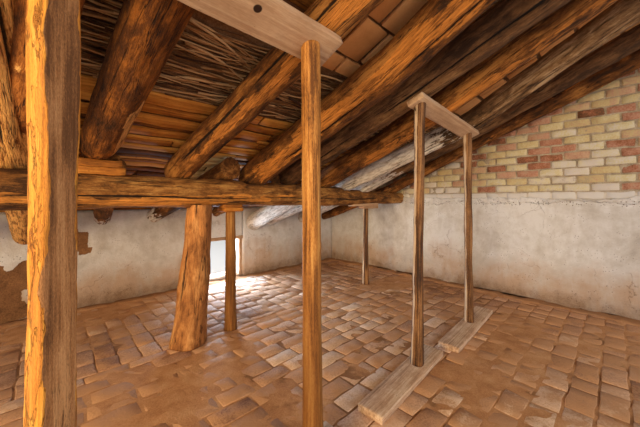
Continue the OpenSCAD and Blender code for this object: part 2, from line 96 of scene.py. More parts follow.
def square_up(y):
    """Direction square to the deck at a line across the room, as its parts along Y and Z."""
    slope = np.where(y <= Y_PURLIN, SLOPE, math.atan(EAVE_RISE))
    return np.sin(slope), np.cos(slope)


def along(share):
    """A place along the room, as a share of its length from the open end."""
    return X_OPEN + share*ROOM


# Camera
EYE = (-1.87, -1.86, FLOOR + 1.40)
HEADING = math.radians(43.55)
PHOTO_W = 640
FOCAL_PX = 284
SENSOR = 36.0
HORIZON_DROP_PX = 14


def place_camera():
    """The photograph's camera: level, with its film shifted down a little."""
    data = bpy.data.cameras.new("view_camera")
    data.sensor_width = SENSOR
    data.lens = SENSOR*FOCAL_PX/PHOTO_W
    data.shift_y = -HORIZON_DROP_PX/PHOTO_W
    data.clip_start = 0.02
    data.clip_end = 200
    camera = bpy.data.objects.new("view_camera", data)
    camera.location = EYE
    camera.rotation_euler = (math.radians(90), 0, -HEADING)
    bpy.context.scene.collection.objects.link(camera)
    bpy.context.scene.camera = camera


place_camera()


# Noise worked out with whole arrays

class Lattice:
    """Random values on a cubic lattice. A point takes the smooth blend of its cell's eight corners."""

    PRIMES = (73856093, 19349663, 83492791)
    SIZE = 65536

    def __init__(self, seed):
        self.table = np.random.default_rng(seed).uniform(-1, 1, self.SIZE)

    def __call__(self, points):
        cell = np.floor(points).astype(np.int64)
        part = points - cell
        part = part*part*(3 - 2*part)
        total = np.zeros(points.shape[:-1])
        for corner in itertools.product((0, 1), repeat=3):
            spot = cell + np.array(corner)
            x, y, z = (spot[..., k]*prime for k, prime in enumerate(self.PRIMES))
            weight = np.prod(np.where(np.array(corner) == 1, part, 1 - part), axis=-1)
            total += weight*self.table[(x ^ y ^ z) & (self.SIZE - 1)]
        return total


def fractal(points, seed, octaves, gain=0.5):
    """Sum of lattice noises, each at twice the last one's rate and a share of its height."""
    lattice = Lattice(seed)
    total = np.zeros(points.shape[:-1])
    height = 1.0
    for octave in range(octaves):
        total += height*lattice(points*2.0**octave + 19.7*octave)
        height *= gain
    return total


def stretch(points, *rates):
    """Points times one rate for each axis, for a noise that runs longer one way."""
    return points*np.array(rates, float)


def level_spots(x, y):
    """Points at height 0 over x and y, where a noise is read."""
    return np.stack([x, y, 0*x], -1)


def smooth(values, low, high):
    """Smooth step from 0 at low to 1 at high."""
    t = np.clip((values - low)/(high - low), 0, 1)
    return t*t*(3 - 2*t)


# Meshes from grids of points

class Piece:
    """Gathers lofts, rows of closed outlines, and makes one mesh of them."""

    LAYERS = ("tint", "bare", "wash", "crack")

    def __init__(self):
        self.points = []
        self.quads = []
        self.triangles = []
        self.place = []
        self.layers = {name: [] for name in self.LAYERS}
        self.count = 0

    def loft(self, rows, caps="fan", place=None, **layers):
        """Skin over rows[item, ring, around]: quads between rings, and at both ends a fan round
        the ring's middle, or a ribbon that pairs each point with the one opposite."""
        if rows.ndim == 3:
            rows = rows[None]
            place = None if place is None else place[None]
            layers = {k: v[None] if np.ndim(v) == 2 else v for k, v in layers.items()}
        place = rows if place is None else place
        items, rings, around = rows.shape[:3]
        index = np.arange(items*rings*around).reshape(items, rings, around)
        following = np.roll(index, -1, axis=2)
        quads = np.stack([index[:, :-1], following[:, :-1], following[:, 1:], index[:, 1:]], -1)
        quads = quads.reshape(-1, 4)
        points = rows.reshape(-1, 3)
        spots = place.reshape(-1, 3)
        values = {k: np.broadcast_to(v if np.ndim(v) != 1 else np.asarray(v)[:, None, None],
                                     (items, rings, around)).reshape(-1).astype(float)
                  for k, v in {**dict.fromkeys(self.LAYERS, 0.0), **layers}.items()}
        triangles = np.zeros((0, 3), int)
        if caps == "fan":
            centre = (len(points) + np.arange(items*2)).reshape(items, 2, 1)
            centre = np.broadcast_to(centre, (items, 2, around))
            low = np.stack([following[:, 0], index[:, 0], centre[:, 0]], -1)
            high = np.stack([index[:, -1], following[:, -1], centre[:, 1]], -1)
            triangles = np.concatenate([low.reshape(-1, 3), high.reshape(-1, 3)])
            points = np.concatenate([points, rows[:, [0, -1]].mean(axis=2).reshape(-1, 3)])
            spots = np.concatenate([spots, place[:, [0, -1]].mean(axis=2).reshape(-1, 3)])
            ends = {k: v.reshape(items, rings, around)[:, [0, -1]].mean(axis=2) for k, v in values.items()}
            values = {k: np.concatenate([v, ends[k].reshape(-1)]) for k, v in values.items()}
        elif caps == "ribbon":
            here = np.arange(around//2 - 1)
            there = around - 1 - here
            corners = np.stack([here, there, there - 1, here + 1], -1)
            low, high = index[:, 0, corners], index[:, -1, corners[:, [0, 3, 2, 1]]]
            quads = np.concatenate([quads, low.reshape(-1, 4), high.reshape(-1, 4)])
        if self._volume(points, quads, triangles) < 0:
            quads = quads[:, ::-1]
            triangles = triangles[:, ::-1]
        self.points.append(points)
        self.quads.append(quads + self.count)
        self.triangles.append(triangles + self.count)
        self.place.append(spots)
        for name in self.LAYERS:
            self.layers[name].append(values[name])
        self.count += len(points)

    @staticmethod
    def _volume(points, quads, triangles):
        """Six times the volume inside closed faces, so its sign tells which way they point."""
        faces = np.concatenate([quads[:, [0, 1, 2]], quads[:, [0, 2, 3]], triangles])
        centre = points.mean(axis=0)
        a, b, c = (points[faces[:, k]] - centre for k in range(3))
        return float(np.einsum("ij,ij->i", a, np.cross(b, c)).sum())

    def build(self, name, node, material):
        """One smooth mesh of all lofts with the layers as attributes, in place of a CAD node."""
        points = np.concatenate(self.points)
        quads = np.concatenate(self.quads)
        triangles = np.concatenate(self.triangles)
        mesh = bpy.data.meshes.new(name)
        mesh.vertices.add(len(points))
        mesh.vertices.foreach_set("co", points.astype(np.float32).ravel())
        loops = np.concatenate([quads.ravel(), triangles.ravel()])
        starts = np.concatenate([np.arange(len(quads))*4, len(quads)*4 + np.arange(len(triangles))*3])
        mesh.loops.add(len(loops))
        mesh.loops.foreach_set("vertex_index", loops.astype(np.int32))
        mesh.polygons.add(len(starts))
        mesh.polygons.foreach_set("loop_start", starts.astype(np.int32))
        mesh.update(calc_edges=True)
        mesh.validate()
        place = mesh.attributes.new("place", "FLOAT_VECTOR", "POINT")
        place.data.foreach_set("vector", np.concatenate(self.place).astype(np.float32).ravel())
        for layer in self.LAYERS:
            attribute = mesh.attributes.new(layer, "FLOAT", "POINT")
            attribute.data.foreach_set("value", np.concatenate(self.layers[layer]).astype(np.float32))
        mesh.polygons.foreach_set("use_smooth", np.full(len(starts), True))
        mesh.materials.append(material)
        piece = bpy.data.objects.new(name, mesh)
        bpy.context.scene.collection.objects.link(piece)
        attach(piece, "root")
        if node:
            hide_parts(node)


def skin(name, node, slot, material, rows, **options):
    """A piece made of one loft."""
    piece = Piece()
    piece.loft(rows, **options)
    piece.build(name, node, material)


# Materials

class Value:
    """A number in a shader. Arithmetic on it adds Math nodes."""

    def __init__(self, paint, socket):
        self.paint = paint
        self.socket = socket

    def __add__(self, other):
        return self.paint.maths("ADD", self, other)

    __radd__ = __add__

    def __sub__(self, other):
        return self.paint.maths("SUBTRACT", self, other)

    def __rsub__(self, other):
        return self.paint.maths("SUBTRACT", other, self)

    def __mul__(self, other):
        return self.paint.maths("MULTIPLY", self, other)

    __rmul__ = __mul__

    def __abs__(self):
        return self.paint.maths("ABSOLUTE", self, 0.0)

    def over(self, low, high):
        """Smooth step of this number from 0 at low to 1 at high."""
        ranged = self.paint.node("MapRange", {"interpolation_type": "SMOOTHSTEP"},
                                 {"Value": self, "From Min": low, "From Max": high})
        return Value(self.paint, ranged.outputs["Result"])


class Paint:
    """One material: its nodes, and the short patterns that the finishes are made of."""

    def __init__(self, name):
        self.material = bpy.data.materials.new(name)
        self.material.use_nodes = True
        self.tree = self.material.node_tree
        self.shader = self.tree.nodes["Principled BSDF"]

    def node(self, kind, settings=None, inputs=None):
        """A new shader node with its settings, and with its inputs fed."""
        made = self.tree.nodes.new(f"ShaderNode{kind}")
        for key, value in (settings or {}).items():
            setattr(made, key, value)
        for key, value in (inputs or {}).items():
            self.feed(made.inputs[key], value)
        return made

    def feed(self, socket, value):
        """Links another node's output to a socket, or gives the socket a value of its own."""
        if isinstance(value, Value):
            self.tree.links.new(value.socket, socket)
        elif isinstance(value, bpy.types.NodeSocket):
            self.tree.links.new(value, socket)
        elif isinstance(value, tuple) and len(value) == 3 and socket.type == "RGBA":
            socket.default_value = (*value, 1.0)
        else:
            socket.default_value = value

    def maths(self, operation, first, second):
        """One sum, difference, product or size of two numbers."""
        made = self.node("Math", {"operation": operation}, {0: first, 1: second})
        return Value(self, made.outputs[0])

    def layer(self, name):
        """One of the piece's own layers."""
        return Value(self, self.node("Attribute", {"attribute_name": name}).outputs["Fac"])

    def place(self):
        """Place on the piece as it was sawn or fired: along it, and round or across it."""
        return self.node("Attribute", {"attribute_name": "place"}).outputs["Vector"]

    def spot(self):
        """Place in the room."""
        return self.node("TexCoord").outputs["Object"]

    def axis(self, vector, name):
        """One part of a vector."""
        return Value(self, self.node("SeparateXYZ", inputs={"Vector": vector}).outputs[name])

    def scaled(self, vector, *rates):
        """The vector times one rate for each axis."""
        made = self.node("VectorMath", {"operation": "MULTIPLY"}, {0: vector, 1: rates})
        return made.outputs["Vector"]

    def noise(self, vector, scale, detail, rough, warp=0.0):
        """Cloudy noise about 0.5: its rate, octaves, their gain, and how far it is warped."""
        inputs = {"Vector": vector, "Scale": scale, "Detail": detail, "Roughness": rough, "Distortion": warp}
        made = self.node("TexNoise", {}, inputs)
        return Value(self, made.outputs["Fac"])

    def grain(self, vector, along, across, detail, rough, warp=0.0):
        """Noise with one rate along the wood and another across it."""
        return self.noise(self.scaled(vector, along, across, across), 1.0, detail, rough, warp)

    def warped(self, vector, scale, reach):
        """The same vector, pushed about by a noise."""
        push = self.node("TexNoise", {}, {"Vector": vector, "Scale": scale, "Detail": 3.0})
        inputs = {0: push.outputs["Color"], 1: (reach,)*3, 2: vector}
        made = self.node("VectorMath", {"operation": "MULTIPLY_ADD"}, inputs)
        return made.outputs["Vector"]

    def flakes(self, vector):
        """Cells with a random tone each, and the distance to the nearest edge between them."""
        inputs = {"Vector": vector, "Scale": 1.0}
        tone = self.node("TexVoronoi", {"feature": "F1"}, inputs)
        edge = self.node("TexVoronoi", {"feature": "DISTANCE_TO_EDGE"}, inputs)
        return self.axis(tone.outputs["Color"], "X"), Value(self, edge.outputs["Distance"])

    def cells(self, vector, scale):
        """Distance to the nearest of scattered points."""
        made = self.node("TexVoronoi", {"feature": "F1"}, {"Vector": vector, "Scale": scale})
        return Value(self, made.outputs["Distance"])

    def ramp(self, value, marks):
        """The colour that a number picks between marks of (place, colour)."""
        made = self.node("ValToRGB", inputs={"Fac": value})
        elements = made.color_ramp.elements
        while len(elements) < len(marks):
            elements.new(0.5)
        for element, (position, colour) in zip(elements, marks):
            element.position = position
            element.color = (*colour, 1.0)
        return made.outputs["Color"]

    def mix(self, factor, first, second):
        """The first colour, turning into the second as the factor goes from 0 to 1."""
        made = self.node("Mix", {"data_type": "RGBA", "clamp_factor": True})
        self.feed(made.inputs["Factor"], factor)
        self.feed(made.inputs[6], first)
        self.feed(made.inputs[7], second)
        return made.outputs[2]

    def bump(self, height, depth, strength):
        """Normals tipped by a height of up to a depth in metres."""
        inputs = {"Height": height, "Distance": depth, "Strength": strength}
        return self.node("Bump", {}, inputs).outputs["Normal"]

    def finish(self, colour, roughness, normal, specular=0.25):
        """Feeds the surface, and gives the finished material."""
        self.feed(self.shader.inputs["Base Color"], colour)
        self.feed(self.shader.inputs["Roughness"], roughness)
        self.feed(self.shader.inputs["Normal"], normal)
        self.shader.inputs["Specular IOR Level"].default_value = specular
        return self.material


def srgb(red, green, blue):
    """A colour written as it looks on screen, 0 to 255, turned into light values."""
    parts = np.array([red, green, blue])/255
    linear = np.where(parts <= 0.04045, parts/12.92, ((parts + 0.055)/1.055)**2.4)
    return tuple(float(v) for v in linear)


def stops(*rows):
    """Stops of a colour ramp, from rows of (place, red, green, blue)."""
    return [(place, srgb(*colour)) for place, *colour in rows]


def light_values(*colours):
    """Several colours written as on screen, turned into light values."""
    return [srgb(*colour) for colour in colours]


def shade(colour, factor):
    """A colour with its light values times a factor."""
    return tuple(min(1, v*factor) for v in colour)


def sway(start, *pairs):
    """A number plus patterns, each taken from its middle at 0.5 and times its share."""
    return sum(((pattern - 0.5)*share for pattern, share in pairs), start)


def log_finish(name, *colours, flaky=0.5):
    """Old round timber: bark flakes with dark edges, fibres, large stains, broken drying cracks painted
    near black as the shade inside them, torn strips of bare wood, and limewashed places with ragged edges."""
    dark, brown, light, torn = light_values(*colours)
    paint = Paint(name)
    place = paint.place()
    flake, edge = paint.flakes(paint.warped(paint.scaled(place, 13, 42, 42), 0.8, 1.6))
    strip, slit = paint.flakes(paint.warped(paint.scaled(place, 5.5, 46, 46), 1.1, 1.5))
    lump = paint.grain(place, 9, 26, 8, 0.68)
    fibre = paint.grain(place, 4.5, 120, 5, 0.62, 0.2)
    stain = paint.grain(place, 1.3, 3.2, 5, 0.62)
    mottle = paint.grain(place, 4.5, 12, 6, 0.66, 0.5)
    fine = paint.grain(place, 90, 260, 3, 0.6)
    crack = paint.grain(place, 0.9, 17, 4, 0.55, 0.3)
    gap = (1 - abs(crack - 0.5).over(0.0, 0.014))*(stain + fibre*0.4).over(0.62, 0.74)
    rim = (1 - edge.over(0.02, 0.20))*flaky
    cleft = 1 - slit.over(0.0, 0.16)
    tone = sway(0.5, (flake, 0.08*flaky), (lump, 0.40), (fibre, 0.30), (stain, 0.9), (mottle, 0.9),
                (fine, 0.25)) - rim*0.05
    colour = paint.ramp(tone, [(0.30, dark), (0.50, brown), (0.68, light)])
    torn_tone = sway(0.5, (strip, 0.10), (fibre, 0.40), (lump, 0.35), (mottle, 0.4),
                     (stain, 0.4)) - cleft*0.06
    torn_stops = [(0.24, dark), (0.36, brown), (0.48, torn), (0.64, shade(torn, 1.4))]
    torn_mask = sway(paint.layer("bare"), (lump, 1.1), (flake, 0.12), (stain, 0.9)).over(0.46, 0.54)
    colour = paint.mix(torn_mask, colour, paint.ramp(torn_tone, torn_stops))
    wash = sway(paint.layer("wash"), (lump, 1.5), (stain, 0.6)).over(0.42, 0.60)
    lime = paint.ramp(lump, stops((0.34, 172, 152, 132), (0.54, 232, 222, 210)))
    colour = paint.mix(wash*0.9, colour, lime)
    # Both kinds of crack are painted near black: the shade inside them, which the mesh is too coarse to cast.
    split = sway(paint.layer("crack"), (fibre, 0.6), (lump, 1.1)).over(0.44, 0.70)
    colour = paint.mix(gap*0.9, colour, srgb(22, 11, 5))
    colour = paint.mix(split*0.95, colour, srgb(16, 8, 4))
    height = lump*0.9 + fibre*0.20 + fine*0.14 + flake*0.16*flaky - rim*0.16 - gap*0.5 - split*0.6
    normal = paint.bump(height - torn_mask*cleft*0.14, 0.020, 0.9)
    return paint.finish(colour, sway(0.8, (fine, 0.25)), normal)


def pole_finish(name, *colours):
    """Peeled poles: close straight grain, small cracks, and strips of bark that are left; on the dark props
    the strip down one side is a painted highlight of daylight.
    """
    dark, brown, light, bark = light_values(*colours)
    paint = Paint(name)
    place = paint.place()
    grain = paint.grain(place, 2.4, 110, 5, 0.6, 0.15)
    broad = paint.grain(place, 1.6, 20, 4, 0.6, 0.2)
    stain = paint.grain(place, 3.0, 9, 4, 0.6)
    fine = paint.grain(place, 60, 260, 3, 0.6)
    pit = paint.cells(paint.scaled(place, 14, 60, 60), 1.0)
    tone = sway(0.5, (grain, 0.6), (broad, 0.8), (stain, 0.4), (fine, 0.3))
    colour = paint.ramp(tone, [(0.36, dark), (0.50, brown), (0.64, light)])
    spots = (1 - pit.over(0.05, 0.16))*stain.over(0.5, 0.62)
    colour = paint.mix(spots*0.8, colour, dark)
    # The bare layer picks the fourth colour: bark on the pale poles, and on the dark props a painted
    # highlight of daylight down one side.
    left = sway(paint.layer("bare"), (broad, 1.1), (stain, 0.9), (fine, 0.3)).over(0.44, 0.54)
    bark_colour = paint.ramp(grain*0.4 + stain*0.6, [(0.40, shade(bark, 0.7)), (0.58, bark)])
    colour = paint.mix(left, colour, bark_colour)
    # Darker where the wash layer says, towards a post's foot: painted shade on the centre prop.
    darker_towards_foot = sway(paint.layer("wash"), (stain, 0.9)).over(0.2, 1.1)
    colour = paint.mix(darker_towards_foot*0.75, colour, dark)
    normal = paint.bump(grain*0.3 + broad*0.4 + fine*0.15 + left*0.25, 0.006, 0.8)
    return paint.finish(colour, sway(0.72, (fine, 0.25)), normal)


def split_finish(name):
    """A split log: pale wood with flakes of bark on its round, and a plain brown flat side, darkened past the
    split wood's own tone as painted shade, with cracks painted dark as shade.
    """
    paint = Paint(name)
    place = paint.place()
    run = paint.grain(place, 3.4, 44, 5, 0.62, 0.5)
    streak = paint.grain(place, 2.0, 150, 5, 0.65, 0.2)
    stain = paint.grain(place, 2.2, 13, 4, 0.6)
    fine = paint.grain(place, 110, 340, 3, 0.65)
    pale = paint.ramp(sway(0.5, (run, 0.8), (streak, 0.7), (stain, 0.7), (fine, 0.35)),
                      stops((0.32, 176, 108, 38), (0.43, 204, 134, 49), (0.56, 215, 149, 59),
                            (0.70, 224, 164, 78)))
    flakes = paint.noise(paint.warped(paint.scaled(place, 6.0, 30, 30), 1.8, 0.9), 1.0, 5, 0.58)
    bark = flakes.over(0.540, 0.548)
    rim = (1 - abs(flakes - 0.532).over(0.0, 0.026))*stain.over(0.38, 0.50)
    bark_tone = run*0.4 + streak*0.3 + fine*0.3
    bark_colour = paint.ramp(bark_tone, stops((0.40, 150, 88, 32), (0.60, 212, 140, 56)))
    outside = paint.mix(bark*0.85, pale, bark_colour)
    outside = paint.mix(rim*0.55, outside, srgb(122, 70, 24))
    cloud = paint.grain(place, 1.7, 17, 4, 0.55, 0.6)
    # The flat side: the split wood's own tone, made darker as painted shade on the side turned from the
    # light; its cracks are painted dark as the shade inside them.
    inside = paint.ramp(sway(0.5, (streak, 0.35), (stain, 0.6), (cloud, 0.8), (fine, 0.4)),
                        stops((0.32, 104, 67, 37), (0.48, 160, 110, 66), (0.66, 198, 148, 98)))
    gap = (1 - abs(run - 0.5).over(0.0, 0.014))*stain.over(0.52, 0.62)
    inside = paint.mix(gap*0.8, inside, srgb(42, 24, 12))
    round_side = sway(paint.layer("bare"), (run, 0.8), (flakes, 0.6)).over(0.46, 0.54)
    colour = paint.mix(round_side, inside, outside)
    height = run*0.5 + streak*0.3 + fine*0.2 + bark*round_side*0.6 - rim*round_side*0.5 - gap*0.3
    return paint.finish(colour, sway(0.70, (fine, 0.25)), paint.bump(height, 0.011, 0.9))


def plank_finish(name, *colours, dust=(168, 128, 92), hole=None, reach=0.22):
    """Sawn planks: close straight grain, a few stains, dark nail spots, and a knot hole painted dark as the
    shade inside it.
    """
    dark, mid, light = light_values(*colours)
    paint = Paint(name)
    place = paint.place()
    grain = paint.grain(place, 1.6, 46, 6, 0.6, 0.6)
    stain = paint.noise(place, 4.0, 4, 0.6)
    fine = paint.grain(place, 30, 220, 3, 0.6)
    tone = sway(grain*0.6 + stain*0.4, (paint.layer("tint"), 0.5), (fine, 0.25))
    colour = paint.ramp(tone, [(0.5 - reach, dark), (0.5, mid), (0.5 + reach, light)])
    speck = paint.cells(paint.scaled(place, 22, 40, 40), 1.0)
    colour = paint.mix((1 - speck.over(0.08, 0.20))*grain.over(0.52, 0.60)*0.7, colour, dark)
    # The wash layer mixes in the dust colour: real dust on the sole boards, and a painted pool of daylight on
    # the deck boards.
    cover = sway(paint.layer("wash"), (stain, 0.7)).over(0.4, 0.7)
    colour = paint.mix(cover*0.8, colour, srgb(*dust))
    if hole:
        middle, radius = hole
        far = paint.node("VectorMath", {"operation": "DISTANCE"}, {0: paint.spot(), 1: middle})
        inside = 1 - Value(paint, far.outputs["Value"]).over(radius*0.85, radius*1.15)
        colour = paint.mix(inside, colour, srgb(48, 26, 12))
    normal = paint.bump(grain*0.6 + fine*0.4, 0.004, 0.7)
    return paint.finish(colour, sway(0.78, (grain, 0.2)), normal)


def fired_finish(name, tones, dust, grain=60.0, depth=0.004, limewash=None, worn=0.25):
    """Fired clay: each piece its own tint, blotches, pits and dust in the hollows."""
    paint = Paint(name)
    spot = paint.spot()
    blotch = paint.noise(spot, 9.0, 5, 0.6)
    pit = paint.noise(spot, grain, 6, 0.65)
    colour = paint.ramp(sway(paint.layer("tint"), (blotch, 0.6), (pit, worn)), stops(*tones))
    cover = sway(paint.layer("bare"), (blotch, 1.2), (pit, 0.8)).over(0.40, 0.75)
    colour = paint.mix(cover*0.93, colour, srgb(*dust))
    if limewash:
        wash = sway(paint.layer("wash"), (blotch, 0.9)).over(0.4, 0.6)
        colour = paint.mix(wash*0.95, colour, srgb(*limewash))
    normal = paint.bump(pit*0.6 + blotch*0.4, depth, 0.8)
    return paint.finish(colour, sway(0.85, (pit, 0.2)), normal, 0.15)


def plaster_finish():
    """Limewash over earth plaster: cream with grey and warm clouds, hairline cracks, pits, and
    brown earth where it has fallen and along the foot."""
    paint = Paint("lime_plaster")
    spot = paint.spot()
    cloud = paint.noise(spot, 1.4, 6, 0.62, 0.5)
    blotch = paint.noise(spot, 7.0, 6, 0.68)
    grit = paint.noise(spot, 70.0, 5, 0.65)
    streak = paint.noise(paint.scaled(spot, 9, 9, 2.2), 1.0, 5, 0.6, 0.5)
    speck = paint.cells(spot, 42.0)
    _, vein = paint.flakes(paint.warped(paint.scaled(spot, 2.3, 2.3, 2.3), 2.2, 0.9))
    colour = paint.ramp(cloud*0.55 + blotch*0.3 + streak*0.15,
                        stops((0.31, 166, 154, 144), (0.42, 196, 187, 178), (0.54, 220, 215, 211)))
    height = paint.axis(spot, "Z")
    warm = sway(1 - height.over(0.25, 1.30), (cloud, 2.0), (streak, 0.6))
    colour = paint.mix(warm.over(0.35, 1.10)*0.8, colour, srgb(176, 140, 106))
    foot = sway(1 - height.over(0.18, 0.60), (blotch, 1.3), (cloud, 0.9), (grit, 0.5))
    colour = paint.mix(foot.over(0.30, 1.25)*0.85, colour, srgb(120, 90, 65))
    crack = (1 - vein.over(0.0, 0.012))*cloud.over(0.50, 0.58)
    colour = paint.mix(crack*0.45, colour, srgb(120, 90, 66))
    pits = (1 - speck.over(0.10, 0.26))*blotch.over(0.50, 0.60)
    colour = paint.mix(pits*0.8, colour, srgb(104, 76, 54))
    broken = sway(1 - abs(height - BASE_TOP + 0.050).over(0.0, 0.075), (blotch, 1.6))
    flecks = (1 - speck.over(0.14, 0.36))*broken.over(0.45, 0.8)
    colour = paint.mix(flecks*0.85, colour, srgb(112, 84, 60))
    earth = paint.ramp(blotch*0.5 + grit*0.5, stops((0.35, 94, 64, 42), (0.6, 148, 104, 68)))
    fallen = sway(paint.layer("bare"), (blotch, 0.9), (grit, 0.4)).over(0.45, 0.54)
    colour = paint.mix(fallen, colour, earth)
    normal = paint.bump(blotch*0.7 + grit*0.3 - pits*0.5 - crack*0.3 - flecks*0.6, 0.018, 0.8)
    return paint.finish(colour, 0.92, normal, 0.1)


def earth_finish(name, colours, scale, depth=0.012, joint=None, limed=None):
    """Dry earth or mortar: clods, grit and small stones. It is darker in joints and where rubble
    lies, and limewashed up to a height."""
    dark, mid, light = light_values(*colours)
    paint = Paint(name)
    spot = paint.spot()
    clod = paint.noise(spot, scale, 6, 0.65, 0.3)
    grit = paint.noise(spot, scale*14, 5, 0.65)
    stone = paint.cells(spot, scale*7)
    colour = paint.ramp(clod*0.6 + grit*0.4, [(0.33, dark), (0.5, mid), (0.66, light)])
    colour = paint.mix((1 - stone.over(0.05, 0.16))*0.5, colour, light)
    if joint:
        joint = srgb(*joint)
        open_joint = 1 - sway(paint.layer("bare"), (clod, 1.2)).over(0.10, 0.65)
        colour = paint.mix(open_joint*0.7, colour, joint)
        rubble = sway(paint.layer("wash"), (clod, 1.4)).over(0.35, 0.80)
        colour = paint.mix(rubble*0.75, colour, shade(joint, 1.25))
    if limed:
        white = 1 - sway(paint.axis(spot, "Z"), (clod, 0.10)).over(limed - 0.02, limed + 0.02)
        colour = paint.mix(white*0.85, colour, srgb(216, 206, 194))
    normal = paint.bump(clod*0.6 + grit*0.4, depth, 0.8)
    return paint.finish(colour, 0.95, normal, 0.08)


# A knot hole in the left head board, painted as a dark disc of shade: its middle and radius
HEAD_HOLE = ((-1.203, -0.757, FLOOR + 2.248), 0.020)
# How far above the plaster the mortar is limewashed
LIME_LIP = 0.085

LOG_DARK = log_finish("log_dark", (42, 21, 5), (94, 51, 13), (154, 91, 30), (206, 150, 86))
LOG_FORKED = log_finish("log_forked", (60, 32, 10), (124, 68, 22), (178, 108, 44), (232, 168, 92))
LOG_WARM = log_finish("log_warm", (50, 27, 8), (114, 67, 24), (172, 114, 54), (176, 110, 46))
LOG_PALE = log_finish("log_pale", (66, 45, 28), (128, 94, 62), (178, 146, 112), (184, 140, 96))
LOG_GREY = log_finish("log_grey", (58, 36, 19), (106, 71, 41), (148, 108, 68), (160, 104, 56))
PURLIN_WOOD = log_finish("purlin_wood", (66, 38, 13), (140, 90, 40), (188, 136, 72), (200, 130, 56),
                         flaky=0.6)
PROP = pole_finish("prop_wood", (98, 58, 22), (172, 112, 50), (212, 156, 84), (196, 148, 92))
# The dark props' fourth colour is a pale painted highlight of daylight, which tear() lays down one side.
DARK_PROP = pole_finish("dark_prop_wood", (54, 33, 19), (106, 70, 40), (152, 110, 70), (204, 174, 142))
NEAR_WOOD = split_finish("near_wood")
POST_WOOD = log_finish("post_wood", (104, 62, 30), (158, 102, 54), (194, 138, 82), (184, 122, 66), flaky=0.3)
PLANK = plank_finish("plank_wood", (138, 102, 74), (180, 142, 108), (208, 174, 140), hole=HEAD_HOLE)
SOLE_WOOD = plank_finish("sole_plank_wood", (112, 82, 58), (186, 150, 120), (226, 202, 176), reach=0.17)
# The deck boards' dust colour is a pale painted pool of daylight, laid where the wash layer says.
DECK_WOOD = plank_finish("deck_wood", (82, 42, 12), (172, 104, 36), (222, 154, 68), dust=(238, 206, 142))
STICK = plank_finish("deck_sticks", (62, 36, 18), (152, 104, 60), (206, 162, 112))
BRICK = fired_finish("brickwork", [(0.02, 104, 72, 50), (0.13, 148, 94, 66), (0.30, 176, 126, 102),
                                   (0.46, 188, 150, 122), (0.64, 194, 172, 124), (0.82, 204, 190, 152),
                                   (0.98, 206, 194, 182)],
                     (160, 140, 118), limewash=(210, 203, 196), worn=0.7)
# Its limewash colour is the whitish tone laid at the foot of the window.
FLOOR_CLAY = fired_finish("floor_clay", [(0.0, 150, 108, 80), (0.36, 184, 140, 108), (0.62, 208, 168, 136),
                                         (0.95, 232, 202, 174)], (190, 142, 102), 70.0, 0.012,
                          limewash=(208, 196, 186), worn=1.3)
DECK_CLAY = fired_finish("deck_clay", [(0.1, 188, 122, 66), (0.5, 214, 150, 90), (0.95, 228, 174, 118)],
                         (170, 132, 98), 50.0, 0.003)
ROOF_CLAY = fired_finish("roof_clay", [(0.1, 130, 78, 54), (0.4, 176, 118, 84), (0.7, 204, 154, 116),
                                       (0.95, 216, 184, 150)], (132, 122, 102), 40.0, 0.005)
PLASTER = plaster_finish()
MORTAR = earth_finish("mortar", [(104, 88, 70), (166, 148, 124), (204, 188, 166)], 9.0,
                      limed=BASE_TOP + LIME_LIP)
EARTH = earth_finish("roof_mud", [(84, 58, 38), (126, 92, 64), (164, 128, 94)], 6.0)
DUST = earth_finish("floor_dust", [(156, 108, 72), (188, 138, 96), (208, 164, 122)], 7.0, 0.008,
                    joint=(122, 86, 60))
BED = earth_finish("floor_earth", [(92, 66, 46), (134, 102, 74), (170, 138, 106)], 5.0)


# Logs

def uneven(angle, ring, seed):
    """The solids' own uneven outline: two slow waves round the log."""
    return (1 + 0.022*np.sin(2*angle + np.radians(47*seed + 22*ring))
            + 0.018*np.sin(3*angle + np.radians(-61*seed + 55*ring)))


# Half the width that a crack's painted shade has at least
LEAST_CRACK = 0.010
# A split log: which way its round faces, in degrees and as a direction, how far to either side
# the bark goes round it, and how far from the middle the split is
SPLIT_TURN = 304
SPLIT_WAY = (math.cos(math.radians(SPLIT_TURN)), math.sin(math.radians(SPLIT_TURN)))
BARK_TURN = 52
FLAT_SIDE = 0.038


